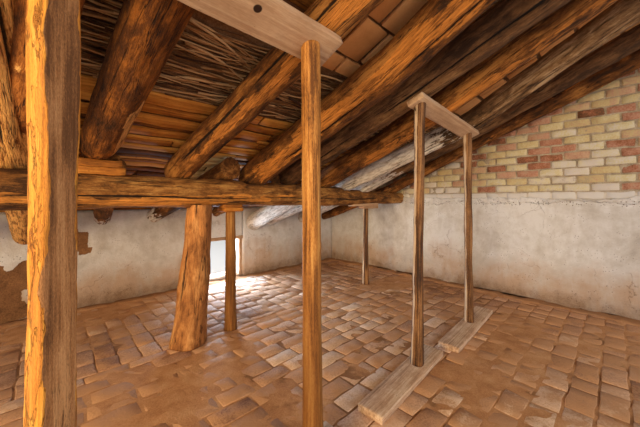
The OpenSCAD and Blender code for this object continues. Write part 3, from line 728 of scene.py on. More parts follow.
class Log:
    """A round timber. Ring k is a circle round centres[k] in the plane of two directions, with its
    radius changed by the outline's slow waves, lumps, fibres, knots, checks and torn places."""

    def __init__(self, centres, across, up, half_a, half_b, rings_in_solid, seed, sides=48):
        self.centres = centres
        self.half_a = half_a
        self.half_b = half_b
        self.seed = seed
        count = len(centres)
        self.angle = np.broadcast_to(np.arange(sides)*2*np.pi/sides, (count, sides))
        steps = np.linalg.norm(np.diff(centres, axis=0), axis=1)
        self.run = np.broadcast_to(np.concatenate([[0], np.cumsum(steps)])[:, None], (count, sides))
        ring = np.linspace(0, rings_in_solid, count)[:, None]
        self.factor = uneven(self.angle, ring, seed)
        self.radius = (half_a + half_b)[:, None]/2
        self.place = np.stack([self.run + 3.1*seed, self.radius*np.cos(self.angle) + 0.7*seed,
                               self.radius*np.sin(self.angle) - 0.4*seed], -1)
        self.relief, self.bare, self.wash, self.crack = np.zeros((4, count, sides))
        self.across = np.array(across, float)
        self.up = np.array(up, float)

    def off_side(self, degrees, drift=0.0):
        """How far each point is turned from a side of the log, from minus to plus half a turn."""
        return np.angle(np.exp(1j*(self.angle - math.radians(degrees) - drift)))

    def grain(self, along, across, seed, octaves):
        """Noise with one rate along the log and another across it."""
        return fractal(stretch(self.place, along, across, across), self.seed + seed, octaves)

    def bark(self, lump=0.012, fibre=0.004):
        """Lumps a hand wide and ridges along the grain."""
        self.relief += lump*self.grain(2.2, 7, 100, 4)
        self.relief += fibre*(0.6 - 2*np.abs(self.grain(3.0, 34, 200, 3)))
        return self

    def knots(self, *spots):
        """Each knot is (run, angle in degrees, width, height): a bell-shaped bump."""
        for run, angle, width, height in spots:
            turn = self.off_side(angle)*self.radius
            far = ((self.run - run)**2 + turn**2)/width**2
            self.relief += height*np.exp(-far)*(1 - 0.55*np.exp(-far*7))
        return self

    def check(self, angle, start, end, depth, width=0.008, wander=0.25):
        """A long drying crack: a narrow V along the log, tapering out at both ends, and a band on the crack
        layer that the finish paints dark as shade.
        """
        drift = wander*fractal(stretch(self.place[:, :1], 0.8, 0, 0), self.seed + 300, 3)
        turn = self.off_side(angle, drift)*self.radius
        taper = smooth(self.run, start, start + 0.5)*(1 - smooth(self.run, end - 0.5, end))
        self.relief -= depth*np.exp(-(turn/width)**2)*taper
        self.crack = np.maximum(self.crack, np.exp(-(turn/max(width, LEAST_CRACK))**2)*taper)
        return self

    def tear(self, angle, spread, start, end, depth, strength):
        """A side where bark is torn off: lower, with a ragged edge, and bare. On the dark props this bare
        strip is a painted highlight of daylight.
        """
        edge = 0.35*self.grain(3, 12, 400, 3)
        side = np.abs(self.off_side(angle)) + edge
        side = 1 - smooth(side, math.radians(spread)*0.8, math.radians(spread))
        span = smooth(self.run + edge, start, start + 0.2)*(1 - smooth(self.run + edge, end - 0.2, end))
        patch = side*span
        self.relief -= depth*patch*(0.6 + 0.7*self.grain(7, 26, 450, 3))
        self.bare = np.maximum(self.bare, patch*strength)
        return self

    def patches(self, cover, strength=0.8):
        """Random bare patches over a share of the log."""
        value = 0.5 + 0.5*self.grain(1.3, 5, 500, 3)
        self.bare = np.maximum(self.bare, strength*smooth(value, 1 - cover, 1.15 - cover))
        return self

    def round_side(self):
        """Bark left on the round of a split log, with a raised and ragged edge along the split."""
        turn = np.degrees(self.angle) - SPLIT_TURN
        edge = 14*self.grain(9, 0, 600, 4)
        near = np.exp(-((turn + BARK_TURN + edge)/12)**2)
        self.relief += 0.005*near*(0.4 + self.grain(22, 40, 650, 3))
        self.bare = np.maximum(self.bare, 1 - smooth(BARK_TURN - np.abs(turn) + edge, -6, 6))
        return self

    def darker_towards_foot(self, height):
        """Darker towards the foot of a post; on the centre prop this is painted shade, where less light
        reaches low down.
        """
        self.wash = 1 - smooth(self.run, 0.1, height)
        return self

    def limewash(self, start, end, strength=1.0):
        """Whitewash that fades in between two runs of the log."""
        self.wash = np.maximum(self.wash, strength*smooth(self.run, start, end))
        return self

    def points(self):
        """Middle of each ring, plus its half widths along both directions by the turn's cosine and
        sine, all times the outline's share."""
        share = (self.factor*self.radius + self.relief)/self.radius
        return (self.centres[:, None]
                + self.across*(self.half_a[:, None]*share*np.cos(self.angle))[..., None]
                + self.up*(self.half_b[:, None]*share*np.sin(self.angle))[..., None])

    def closed(self, points):
        """Adds rings that shrink towards the middle, so that both ends have a sawn face."""
        shrink = np.array([0.25, 0.55, 0.80, 0.96])[:, None, None]

        def capped(rows):
            """The rows between two sets of their own end rings, shrunk."""
            middles = [rows[end].mean(axis=0) for end in (0, -1)]
            first, last = (middle + (rows[end] - middle)*shrink for middle, end in zip(middles, (0, -1)))
            return np.concatenate([first, rows, last[::-1]])

        extra = len(shrink)
        layers = {name: np.pad(getattr(self, name), ((extra, extra), (0, 0)), "edge")
                  for name in ("bare", "wash", "crack")}
        return capped(points), capped(self.place), layers

    def into(self, piece, trim):
        """Adds the log to a piece, trimmed where it is hewn."""
        points = self.points() if trim is None else trim(self.points())
        points, place, layers = self.closed(points)
        piece.loft(points, place=place, **layers)


def build_logs(name, slot, material, *parts):
    """A piece in place of one node, from logs that each come with what trims them."""
    piece = Piece()
    for log, trim in parts:
        log.into(piece, trim)
    piece.build(f"{name}_wood", name, material)


def ring_places(start, end, step):
    """Even places from start to end, about a step apart."""
    return np.linspace(start, end, int((end - start)/step))


# The purlin: shares of the room's length, undersides above the floor, and diameters
PURLIN = np.array([
    [0.000, 1.320, 0.305], [0.147, 1.322, 0.299], [0.370, 1.325, 0.281], [0.587, 1.327, 0.278],
    [0.672, 1.312, 0.288], [0.755, 1.308, 0.238], [0.865, 1.322, 0.214], [0.998, 1.333, 0.196],
    [1.100, 1.335, 0.190]
])
# The top log: its diameter, the width of the slimmest rafter that it is set out for, and its top
TOP_LOG_D = 0.290
LEAST_RAFTER_D = 0.212
TOP_LOG_Z = plane_z(Y_TOP) - LEAST_RAFTER_D*SLANT + BACK_CUT
# How far both level logs reach into the gable wall
IN_GABLE = 0.2


def purlin_size(x):
    """Underside and diameter of the purlin at places along the room."""
    low, size = (np.interp((x - X_OPEN)/ROOM, PURLIN[:, 0], PURLIN[:, k]) for k in (1, 2))
    return FLOOR + low, size


def purlin_top(x):
    """Underside plus diameter."""
    return sum(purlin_size(x))


# Rafters: places at the top, prop, purlin and eave lines as shares of the room's
# length, diameters at top and foot, and depths below the deck at those lines
CROSS_LINES = np.array([Y_TOP, Y_PROPS, Y_PURLIN, Y_EAVE])
RAFTERS = {
    1: ((0.055, 0.055, 0.055, 0.055), 0.235, 0.240, (0, 0, 0.010, 0)),
    2: ((0.150, 0.153, 0.158, 0.155), 0.238, 0.235, (0, 0.014, 0.014, 0)),
    3: ((0.284, 0.254, 0.230, 0.230), 0.240, 0.240, (0, 0.024, 0.012, 0)),
    4: ((0.4145, 0.378, 0.342, 0.336), 0.245, 0.240, (0, 0.037, 0.020, 0)),
    5: ((0.4605, 0.484, 0.476, 0.482), 0.272, 0.321, (0, 0.076, 0.005, 0)),
    6: ((0.572, 0.567, 0.555, 0.588), 0.271, 0.279, (0.030, 0.040, 0, 0)),
    7: ((0.622, 0.646, 0.662, 0.648), 0.235, 0.291, (0.010, 0.103, 0.040, 0.005)),
    8: ((0.685, 0.762, 0.738, 0.714), 0.233, 0.217, (0.010, 0.172, 0.108, 0.005)),
    9: ((0.834, 0.866, 0.813, 0.847), 0.200, 0.217, (0.030, 0.080, 0.141, 0.005)),
    10: ((0.955, 0.962, 0.957, 0.958), 0.190, 0.190, (0.040, 0.070, 0.163, 0.010)),
}
# The log that joins a rafter: its number, the same measures, how far before the purlin it ends,
# and the length over which it thins
FORKED = 2
FORK_NUMBER = 11
FORK = ((0.227, 0.197, 0.163, 0.158), 0.215, 0.190, (0, 0.050, 0.075, 0))
FORK_END = 0.280
FORK_TAPER = 0.520
# Logs from the purlin to the eaves, and how far past the purlin each one starts
EAVE_RAFTERS = {
    1: ((0.250, 0.273), 0.200, 0.195, (0.060, 0), 0.045),
    2: ((0.420, 0.375), 0.215, 0.195, (0.040, 0), -0.060),
    3: ((0.528, 0.530), 0.165, 0.150, (0.095, 0), 0.0205),
}
# Rafters that end past the purlin, and how far past it
SHORT = {3: 0.030, 4: 0.130, 5: 0.130, 6: 0.020}
# The rafter on the packing block, the block's underside and height, its middle from the
# rafter's and half its length, and the length over which the rafter's tip thins
ON_BLOCK = 3
BLOCK_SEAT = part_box("purlin_block")[0].z
BLOCK_LIFT = 0.120
BLOCK_PAST = 0.040
BLOCK_HALF = 0.190
TIP_REACH = 0.420
# How far rafters reach past the top log and into the eave wall
HEAD_REACH = 0.130
FOOT_DEPTH = 0.260
# Room to both sides of a seat, down the slope and along the carrying log
SEAT_ROOM = 0.015
SEAT_SIDE = 0.025
RING_STEP = 0.026
OUT_OF_VIEW = (1, 10)


def under(line_z, width, drop):
    """Underside of a sloping log, before its seats are hewn."""
    return line_z - drop + BACK_CUT - width*SLANT


def seat_level(top, low):
    """Height of the flat between a carrying log's top and the log that lies on it."""
    return min(top - 0.004, max(low + SEAT_CUT, (top + low)/2))


def width_at(row, y):
    """Diameter at a line across the room, even from the top log to the eave wall."""
    return row[1] + (row[2] - row[1])*(y - Y_TOP)/(Y_EAVE - Y_TOP)


def drop_at(row, y):
    """Depth below the deck, straight between the four lines."""
    return np.interp(y, CROSS_LINES, row[3])


def place_at(row, y):
    """Place along the room, straight between the four lines."""
    return along(np.interp(y, CROSS_LINES, row[0]))


def seat_at(row, y, top):
    """Flat under a rafter where it crosses the purlin or the top log."""
    return seat_level(top, under(plane_z(y), width_at(row, y), drop_at(row, y)))


def purlin_seat(row):
    """Flat under a rafter on the purlin."""
    return seat_at(row, Y_PURLIN, purlin_top(place_at(row, Y_PURLIN)))


def eave_seat(row):
    """Flat under an eave rafter on the purlin."""
    return seat_level(purlin_top(along(row[0][0])), under(deck_z(Y_PURLIN), row[1], row[3][0]))


def half_seat(x):
    """Half the stretch across the room that a seat on the purlin takes up."""
    return purlin_size(x)[1]/2 + SEAT_ROOM


def thinned(number, y):
    """Share of its full width that a log keeps: 1 less a share of the square of how far it is
    into its thinned length, for the rafter over the packing and for the fork."""
    if number == ON_BLOCK:
        return 1 - 0.42*(np.maximum(0, y - Y_PURLIN + TIP_REACH)/TIP_REACH)**2
    if number == FORK_NUMBER:
        return 1 - 0.5*(np.maximum(0, y - Y_PURLIN + FORK_END + FORK_TAPER)/FORK_TAPER)**2
    return np.ones_like(y)


def sloping(y, x, line_z, drop, width, rings_in_solid, seed):
    """A log under a plane, as plumb rings at places across and down the room."""
    radius = width/2
    z = line_z - drop + BACK_CUT - radius*SLANT
    return Log(np.stack([x, y, z], -1), (0, 0, 1), (1, 0, 0), radius*SLANT, radius, rings_in_solid, seed)


def over_seats(seats):
    """Trims a sloping log's points: under the deck, and over each seat, which is (start, end,
    height) across the room."""
    def trim(points):
        """Heights held between the deck and the seat at their line."""
        y, z = points[..., 1], points[..., 2]
        z = np.minimum(z, deck_z(y) - AIR)
        for start, end, seat in seats:
            z = np.where((y >= start) & (y <= end), np.maximum(z, seat + AIR), z)
        return np.stack([points[..., 0], y, z], -1)
    return trim


def under_seats(seats):
    """Trims a level log's points: flat on top at each seat, which is (middle, half, height) along
    the room."""
    def trim(points):
        """Heights held under the seat at their place."""
        x, y, z = (points[..., k] for k in range(3))
        for at, half, seat in seats:
            z = np.where(np.abs(x - at) < half, np.minimum(z, seat), z)
        return np.stack([x, y, z], -1)
    return trim


def rafter(row, number):
    """A long log with its seats on the top log, the purlin and the eave wall."""
    short = number in SHORT
    if short:
        end = Y_PURLIN + SHORT[number]
    elif number == FORK_NUMBER:
        end = Y_PURLIN - FORK_END
    else:
        end = Y_EAVE + FOOT_DEPTH
    coarser = 1.7 if number in OUT_OF_VIEW else 1
    y = np.linspace(Y_TOP - HEAD_REACH, end, int((end - Y_TOP)/RING_STEP/coarser))
    log = sloping(y, place_at(row, y), plane_z(y), drop_at(row, y), width_at(row, y)*thinned(number, y),
                  10 if short or number == FORK_NUMBER else 14, number)
    half = half_seat(place_at(row, Y_PURLIN))
    seat = BLOCK_SEAT + BLOCK_LIFT if number == ON_BLOCK else purlin_seat(row)
    foot = under(plane_z(Y_EAVE), width_at(row, Y_EAVE), drop_at(row, Y_EAVE)) + SEAT_CUT
    return log, over_seats([(Y_NEAR, Y_TOP + TOP_LOG_D/2 + SEAT_ROOM, seat_at(row, Y_TOP, TOP_LOG_Z)),
                            (Y_PURLIN - half, end if short else Y_PURLIN + half, seat),
                            (Y_EAVE, Y_DRIP, foot)])


def make_rafters():
    """The ten sloping logs, each with its own wear, and the fork of the second one."""
    wear = {
        1: lambda log: log.bark().patches(0.3),
        2: lambda log: (log.bark(0.008, 0.002).check(140, 1.0, 4.3, 0.03, 0.012, 0.1)
                        .check(190, 2.0, 4.4, 0.01).patches(0.9, 1.0)),
        3: lambda log: (log.bark(0.010, 0.003).knots((2.2, 200, 0.07, 0.02), (3.1, 150, 0.05, 0.015))
                        .tear(134, 24, 3.2, 4.7, 0.004, 1.05)),
        4: lambda log: (log.bark(0.009, 0.003).check(243, 0.6, 4.4, 0.028, 0.008, 0.10)
                        .tear(208, 26, 0.3, 4.3, 0.008, 0.85)),
        5: lambda log: (log.bark(0.010).tear(222, 34, 0.4, 4.2, 0.014, 0.66)
                        .check(196, 0.3, 4.0, 0.03, 0.010, 0.08)),
        6: lambda log: log.bark(0.014).check(222, 0.4, 4.0, 0.03, 0.010, 0.08).patches(0.12, 0.5),
        7: lambda log: (log.bark(0.012).tear(200, 34, 0.2, 3.6, 0.008, 0.55).patches(0.15, 0.6)
                        .limewash(4.6, 5.4)),
        8: lambda log: log.bark(0.012).check(205, 0.2, 3.6, 0.03).limewash(1.7, 4.0, 1.1),
        9: lambda log: log.bark(0.012).patches(0.15, 0.5).limewash(3.4, 4.4, 1.0),
        10: lambda log: log.bark(0.012).patches(0.3, 0.6),
        FORK_NUMBER: lambda log: log.bark(0.012).patches(0.25, 0.7),
    }
    finish = {1: LOG_DARK, 2: LOG_FORKED, 3: LOG_DARK, 4: LOG_WARM, 5: LOG_WARM, 6: LOG_GREY, 7: LOG_WARM,
              8: LOG_PALE, 9: LOG_GREY, 10: LOG_WARM}
    for number, row in RAFTERS.items():
        rows = {number: row, FORK_NUMBER: FORK} if number == FORKED else {number: row}
        parts = {part: rafter(rows[part], part) for part in rows}
        for part, (log, _) in parts.items():
            wear[part](log)
        build_logs(f"rafter_{number}", "log_wood", finish[number], *parts.values())


def make_eave_rafters():
    """The short logs that go on from the purlin to the eave wall."""
    for number, row in EAVE_RAFTERS.items():
        shares, head_d, foot_d, drops, past = row
        start, end = Y_PURLIN + past, Y_EAVE + FOOT_DEPTH
        y = ring_places(start, end, RING_STEP)
        t = (y - Y_PURLIN)/(Y_EAVE - Y_PURLIN)
        share, drop, width = (a + (b - a)*t for a, b in (shares, drops, (head_d, foot_d)))
        log = sloping(y, along(share), deck_z(y), drop, width, 5, number + 20)
        log.bark(0.008).limewash(1.2, 1.9, 0.6 if number < 3 else 0.0)
        half = half_seat(along(shares[0]))
        foot = under(deck_z(Y_EAVE), foot_d, drops[1]) + SEAT_CUT
        trim = over_seats([(Y_PURLIN - half, Y_PURLIN + half, eave_seat(row)), (Y_EAVE, end, foot)])
        build_logs(f"eave_rafter_{number}", "log_wood", LOG_WARM, (log, trim))


def level_log(y, low_of, width_of, rings_in_solid, seed, step=RING_STEP):
    """A log along the room and into the gable wall, from its undersides and diameters."""
    x = ring_places(X_OPEN, X_GABLE + IN_GABLE, step)
    radius = width_of(x)/2
    centres = np.stack([x, np.full_like(x, y), low_of(x) + radius], -1)
    return Log(centres, (0, 1, 0), (0, 0, 1), radius, radius, rings_in_solid, seed, 64)


def make_purlin():
    """The main purlin: old bark with shallow scales, long checks, and flat seats under each log."""
    log = level_log(Y_PURLIN, lambda x: purlin_size(x)[0], lambda x: purlin_size(x)[1], 16, 31)
    log.bark(0.008, 0.003).check(205, 0.1, 3.0, 0.012, 0.010, 0.2).check(192, 2.6, 5.4, 0.008, 0.010, 0.2)
    log.tear(215, 18, 0.5, 3.2, 0.004, 0.8).patches(0.32, 0.7)
    log.bare = log.bare*(1 - smooth(log.run, 2.6, 4.4))
    seats = [(place_at(row, Y_PURLIN), width_at(row, Y_PURLIN)/2 + SEAT_SIDE, purlin_seat(row))
             for number, row in RAFTERS.items() if number != ON_BLOCK]
    seats += [(along(row[0][0]), row[1]/2 + SEAT_SIDE, eave_seat(row)) for row in EAVE_RAFTERS.values()]
    seats.append((place_at(RAFTERS[ON_BLOCK], Y_PURLIN) + BLOCK_PAST, BLOCK_HALF, BLOCK_SEAT))
    build_logs("main_purlin", "log_wood", PURLIN_WOOD, (log, under_seats(seats)))


def make_top_log():
    """The log under the rafters' heads, with a flat seat under each."""
    log = level_log(Y_TOP, lambda x: np.full_like(x, TOP_LOG_Z - TOP_LOG_D),
                    lambda x: np.full_like(x, TOP_LOG_D), 12, 32, 0.05)
    log.bark().check(200, 0.2, 5.8, 0.03).patches(0.3)
    seats = [(place_at(row, Y_TOP), row[1]/2 + SEAT_SIDE, seat_at(row, Y_TOP, TOP_LOG_Z))
             for row in (*RAFTERS.values(), FORK)]
    build_logs("top_log", "log_wood", LOG_WARM, (log, under_seats(seats)))


def standing(foot, head, foot_d, head_d, rings_in_solid, seed, step=0.018):
    """An upright log between two points, flared at its foot as the solids are."""
    t = np.linspace(0, 1, int((head[2] - foot[2])/step))
    centres = np.array(foot)[None] + (np.array(head) - np.array(foot))[None]*t[:, None]
    radius = (foot_d + (head_d - foot_d)*t)/2 + foot_d*0.10*(1 - t)**6
    return Log(centres, (1, 0, 0), (0, 1, 0), radius, radius, rings_in_solid, seed)


def make_top_posts():
    """The two posts under the top log."""
    for index, (name, share) in enumerate({"top_post_left": 0.03, "top_post_right": 0.51}.items()):
        at = along(share)
        log = standing((at, Y_TOP, FLOOR), (at, Y_TOP, TOP_LOG_Z - TOP_LOG_D + SEAT_CUT), 0.220, 0.200, 7,
                       50 + index, step=0.04)
        log.bark().check(260, 0.2, 2.6, 0.02).patches(0.3)
        build_logs(name, "log_wood", LOG_WARM, (log, None))


# Thickness of each of the two packing pieces on the slim post, and of the boards on the far one
PACKER_T = 0.038
BOARD_T = 0.045
# Posts under the purlin: shares of the length at foot and head, diameters there, packing on top,
# rings of the solid, and seed
PURLIN_POSTS = {
    "end_post": ((0.018, 0.020), 0.210, 0.200, 0.0, 6, 40),
    "leaning_post": ((0.351, 0.370), 0.280, 0.232, 0.0, 7, 41),
    "slim_post": ((0.425, 0.425), 0.112, 0.108, 2*PACKER_T, 6, 42),
    "far_post": ((0.822, 0.822), 0.092, 0.088, 2*BOARD_T, 6, 43),
}


def make_purlin_posts():
    """The posts under the purlin, thick and round or slim and peeled."""
    for name, (shares, foot_d, head_d, packing, rings, seed) in PURLIN_POSTS.items():
        foot, head = (along(share) for share in shares)
        top = purlin_size(head)[0] + REST_CUT - packing
        log = standing((foot, Y_PURLIN, FLOOR), (head, Y_PURLIN, top), foot_d, head_d, rings, seed)
        big = foot_d > 0.2
        log.bark(0.008 if big else 0.004, 0.002)
        if name == "far_post":
            # The pale strip down one side is a painted highlight of daylight.
            log.tear(150, 24, -1, 3, 0.001, 0.7)
        if name == "slim_post":
            log.darker_towards_foot(3.0)
        if name == "leaning_post":
            log.bark(0.010, 0.0)
            log.knots((0.85, 250, 0.05, 0.016), (0.45, 300, 0.04, 0.012), (0.7, 200, 0.04, 0.012))
            log.check(215, 0.1, 1.2, 0.012).patches(0.35, 0.6)
        finish = POST_WOOD if big else DARK_PROP if name == "far_post" else PROP
        build_logs(name, "log_wood" if big else "prop_wood", finish, (log, None))


# Head boards: ends as shares of the length, depths of their tops below the deck, widths
HEADS = {"left": (0.135, 0.383, 0.250, 0.285, 0.188), "right": (0.547, 0.767, 0.312, 0.402, 0.135)}
HEAD_T = 0.050
# Sole boards: ends as shares of the length, and how far they are turned, in degrees
SOLES = {"left": (0.147, 0.392, 0), "middle": (0.435, 0.612, 4), "right": (0.635, 0.843, 3)}
SOLE_T = 0.050
SOLE_W = 0.185
# Props: shares of the length at foot and head, diameters there, head board, and seed
PROPS = {
    "near_post": (0.1885, 0.1905, 0.110, 0.102, "left", 60),
    "centre_prop": (0.361, 0.358, 0.104, 0.098, "left", 61),
    "middle_prop": (0.554, 0.562, 0.085, 0.084, "right", 62),
    "right_prop": (0.750, 0.742, 0.082, 0.080, "right", 63),
}


def head_depth(which, x):
    """Depth of a head board's top below the deck, straight between its ends."""
    start, end, depth_a, depth_b, _ = HEADS[which]
    return np.interp((x - X_OPEN)/ROOM, [start, end], [depth_a, depth_b])


def under_board(board, foot, split):
    """Trims a prop's points: under its head board, and to the flat side of a split log."""
    def trim(points):
        """Points past the split moved back to it, and heights held under the board."""
        x, y, z = (points[..., k] for k in range(3))
        top = deck_z(y) - head_depth(board, x) - HEAD_T*SLANT
        if split:
            over = np.maximum(0, (x - foot)*SPLIT_WAY[0] + (y - Y_PROPS)*SPLIT_WAY[1] - FLAT_SIDE)
            x, y = x - over*SPLIT_WAY[0], y - over*SPLIT_WAY[1]
        return np.stack([x, y, np.minimum(z, top)], -1)
    return trim


def make_props():
    """The row of props. Their heads are cut to the slope of the board that they carry."""
    wear = {
        "near_post": lambda log: (log.bark(0.006, 0.003)
                                  .knots((1.84, 213, 0.020, 0.007), (1.80, 249, 0.016, 0.004),
                                         (1.25, 258, 0.026, 0.008)).round_side()),
        # The centre prop darkens towards its foot: painted shade.
        "centre_prop": lambda log: (log.bark(0.003, 0.001)
                                    .knots((1.62, 230, 0.028, 0.013), (1.1, 300, 0.02, 0.006),
                                           (0.6, 190, 0.03, 0.007)).darker_towards_foot(2.2)),
        # On the middle and right props the torn strip down one side is a painted highlight of daylight.
        "middle_prop": lambda log: (log.bark(0.006, 0.002).knots((1.5, 220, 0.02, 0.007))
                                    .tear(152, 24, -1, 3, 0.001, 0.7)),
        "right_prop": lambda log: (log.bark(0.006, 0.002).knots((0.9, 200, 0.02, 0.006))
                                   .tear(154, 22, -1, 3, 0.001, 0.7)),
    }
    finish = {"near_post": NEAR_WOOD, "centre_prop": PROP}
    for name, (foot, head, foot_d, head_d, board, seed) in PROPS.items():
        foot, head = along(foot), along(head)
        top = deck_z(Y_PROPS) - head_depth(board, head)
        log = standing((foot, Y_PROPS, FLOOR + SOLE_T), (head, Y_PROPS, top), foot_d, head_d, 7, seed)
        wear[name](log)
        trim = under_board(board, foot, name == "near_post")
        build_logs(name, "prop_wood", finish.get(name, DARK_PROP), (log, trim))


# Blocks: bricks, tiles, boards and planks

def rounded_outline(corner_points):
    """Corners and directions of a unit rectangle's outline with rounded corners."""
    signs = np.array([(1, 1), (-1, 1), (-1, -1), (1, -1)])
    turns = np.linspace(0, 90, corner_points)[None] + 90*np.arange(4)[:, None]
    angle = np.array([[math.radians(turn) for turn in row] for row in turns])
    corner = np.broadcast_to(signs[:, None], (*angle.shape, 2))
    return np.concatenate([corner, np.cos(angle)[..., None], np.sin(angle)[..., None]], -1).reshape(-1, 4)


def blocks(piece, centre, axes, size, rings, seed, bevel=0.006, rough=0.002, rate=14.0, corner_points=3,
           **layers):
    """Many blocks at once. Each is a row of rounded rectangles along its length, drawn in at both
    ends by the bevel, and then moved by noise that depends on the place. A layer is a number for
    each block, or a function of the place."""
    centre, axes, size = (np.asarray(v, float) for v in (centre, axes, size))
    count = len(centre)
    axes = np.broadcast_to(axes, (count, 3, 3))
    size = np.broadcast_to(size, (count, 3))
    outline = rounded_outline(corner_points)
    bevel = np.minimum(np.broadcast_to(bevel, (count,)), size.min(axis=1)*0.3)
    share = np.concatenate([[0], np.linspace(0, 1, rings - 2), [1]])
    inset = np.zeros(rings)
    inset[[0, -1]] = 1
    run = (share - 0.5)[None]*(size[:, :1] - np.where(inset > 0, 0, 2)*bevel[:, None])
    drawn = inset[None]*bevel[:, None]*0.8
    half_w = size[:, 1, None, None]/2 - bevel[:, None, None]
    half_t = size[:, 2, None, None]/2 - bevel[:, None, None]
    radius = (bevel[:, None] - drawn)[..., None]
    w = outline[None, None, :, 0]*half_w + outline[None, None, :, 2]*radius
    t = outline[None, None, :, 1]*half_t + outline[None, None, :, 3]*radius
    s = np.broadcast_to(run[..., None], w.shape)
    local = np.stack([s, w, t], -1)
    points = centre[:, None, None] + np.einsum("nrak,nkj->nraj", local, axes)
    shift = np.stack([fractal(points*rate, seed + k, 3) for k in range(3)], -1)
    points = points + rough*shift
    place = local + np.random.default_rng(seed).uniform(-9, 9, (count, 1, 1, 3))
    piece.loft(points, place=place, **{k: v(points) if callable(v) else v for k, v in layers.items()})


def block_piece(name, node, slot, material, centre, axes, size, **options):
    """A piece made of blocks alone."""
    piece = Piece()
    blocks(piece, centre, axes, size, **options)
    piece.build(name, node, material)


# Directions of a block's length, width and thickness: laid along the room, laid across it,
# upright, and laid along the room on the upper roof
LEVEL_AXES = np.eye(3)
CROSS_AXES = np.array([[0, 1, 0], [-1, 0, 0], [0, 0, 1]], float)
UPRIGHT_AXES = np.array([[0, 0, 1], [1, 0, 0], [0, 1, 0]], float)
SLOPE_AXES = np.array([[1, 0, 0], [0, math.cos(SLOPE), -math.sin(SLOPE)],
                       [0, math.sin(SLOPE), math.cos(SLOPE)]])


def turned(axes, angle):
    """The same axes turned about the third one, by one angle for each block."""
    axes = np.broadcast_to(axes, (len(angle), 3, 3))
    c, s = np.cos(angle)[:, None], np.sin(angle)[:, None]
    first = c*axes[:, 0] + s*axes[:, 1]
    second = -s*axes[:, 0] + c*axes[:, 1]
    return np.stack([first, second, axes[:, 2]], axis=1)


def tilted(axes, angle):
    """The same axes turned about the second one, by one angle for each block."""
    c, s = np.cos(angle)[:, None], np.sin(angle)[:, None]
    first = c*axes[:, 0] + s*axes[:, 2]
    third = -s*axes[:, 0] + c*axes[:, 2]
    return np.stack([first, axes[:, 1], third], axis=1)


def plain_blocks(name, node, slot, material, boxes, seed, **options):
    """Boards that lie square to the room, each given by its two corners."""
    low, high = np.array(boxes).swapaxes(0, 1)
    tint = np.random.default_rng(seed).uniform(0.3, 0.7, len(boxes))
    block_piece(name, node, slot, material, (low + high)/2, LEVEL_AXES, high - low, seed=seed, tint=tint,
                rings=10, **options)


def make_packers():
    """Packing pieces on the posts and the purlin."""
    x = along(PURLIN_POSTS["slim_post"][0][1])
    rest = purlin_size(x)[0] + REST_CUT
    plain_blocks("slim_post_packing", "slim_post_packers", "plank_wood", DECK_WOOD,
                 [((x - 0.115 + 0.012*k, Y_PURLIN - 0.08, rest - PACKER_T*(k + 1)),
                   (x + 0.100 + 0.012*k, Y_PURLIN + 0.08, rest - PACKER_T*k - SEAM)) for k in (0, 1)], 71)
    x = along(PURLIN_POSTS["far_post"][0][1])
    rest = purlin_size(x)[0] + REST_CUT
    plain_blocks("far_post_planks", "far_post_boards", "plank_wood", PLANK,
                 [((x - back, Y_PURLIN - 0.06, rest - BOARD_T*(k + 1)),
                   (x + 0.28, Y_PURLIN + 0.06, rest - BOARD_T*k - SEAM))
                  for k, back in enumerate((0.38, 0.12))], 72)
    low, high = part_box("purlin_block")
    middle = (low.z + high.z)/2
    plain_blocks("purlin_packing", "purlin_block", "plank_wood", DECK_WOOD,
                 [((low.x, low.y, low.z), (high.x, high.y, middle - SEAM)),
                  ((low.x, low.y, middle + SEAM), (high.x - 0.025, high.y, high.z))], 73, rough=0.004)


def make_planks():
    """Head boards, tilted with the slope and along the room, and sole boards on the floor."""
    board = {"rings": 60, "rough": 0.0015, "bevel": 0.004, "corner_points": 4}
    for which, (start, end, depth_a, depth_b, width) in HEADS.items():
        x0, x1 = along(start), along(end)
        tilt = -(depth_b - depth_a)/(x1 - x0)
        first = np.array([1, 0, tilt])/math.hypot(1, tilt)
        second = SLOPE_AXES[1] - first*SLOPE_AXES[1].dot(first)
        second /= np.linalg.norm(second)
        middle = ((x0 + x1)/2, Y_PROPS, deck_z(Y_PROPS) - (depth_a + depth_b)/2 - HEAD_T*SLANT/2)
        block_piece(f"head_board_{which}_plank", f"head_board_{which}", "plank_wood", PLANK,
                    [middle], np.stack([first, second, np.cross(first, second)])[None],
                    [((x1 - x0)*math.hypot(1, tilt), width*SLANT, HEAD_T)], seed=81, tint=0.6, **board)
    for k, (which, (start, end, turn)) in enumerate(SOLES.items()):
        middle = (along((start + end)/2), Y_PROPS - 0.010*k, FLOOR + SOLE_T/2)
        block_piece(f"sole_board_{which}_plank", f"sole_board_{which}", "plank_wood", SOLE_WOOD,
                    [middle], turned(LEVEL_AXES, np.array([math.radians(turn)])),
                    [((end - start)*ROOM, SOLE_W, SOLE_T)], seed=85 + k, tint=0.55, wash=0.35, **board)


# Walls

PLASTER_STEP = 0.045
# How much lower bare earth lies than the plaster round it
FALLEN_DEPTH = 0.018


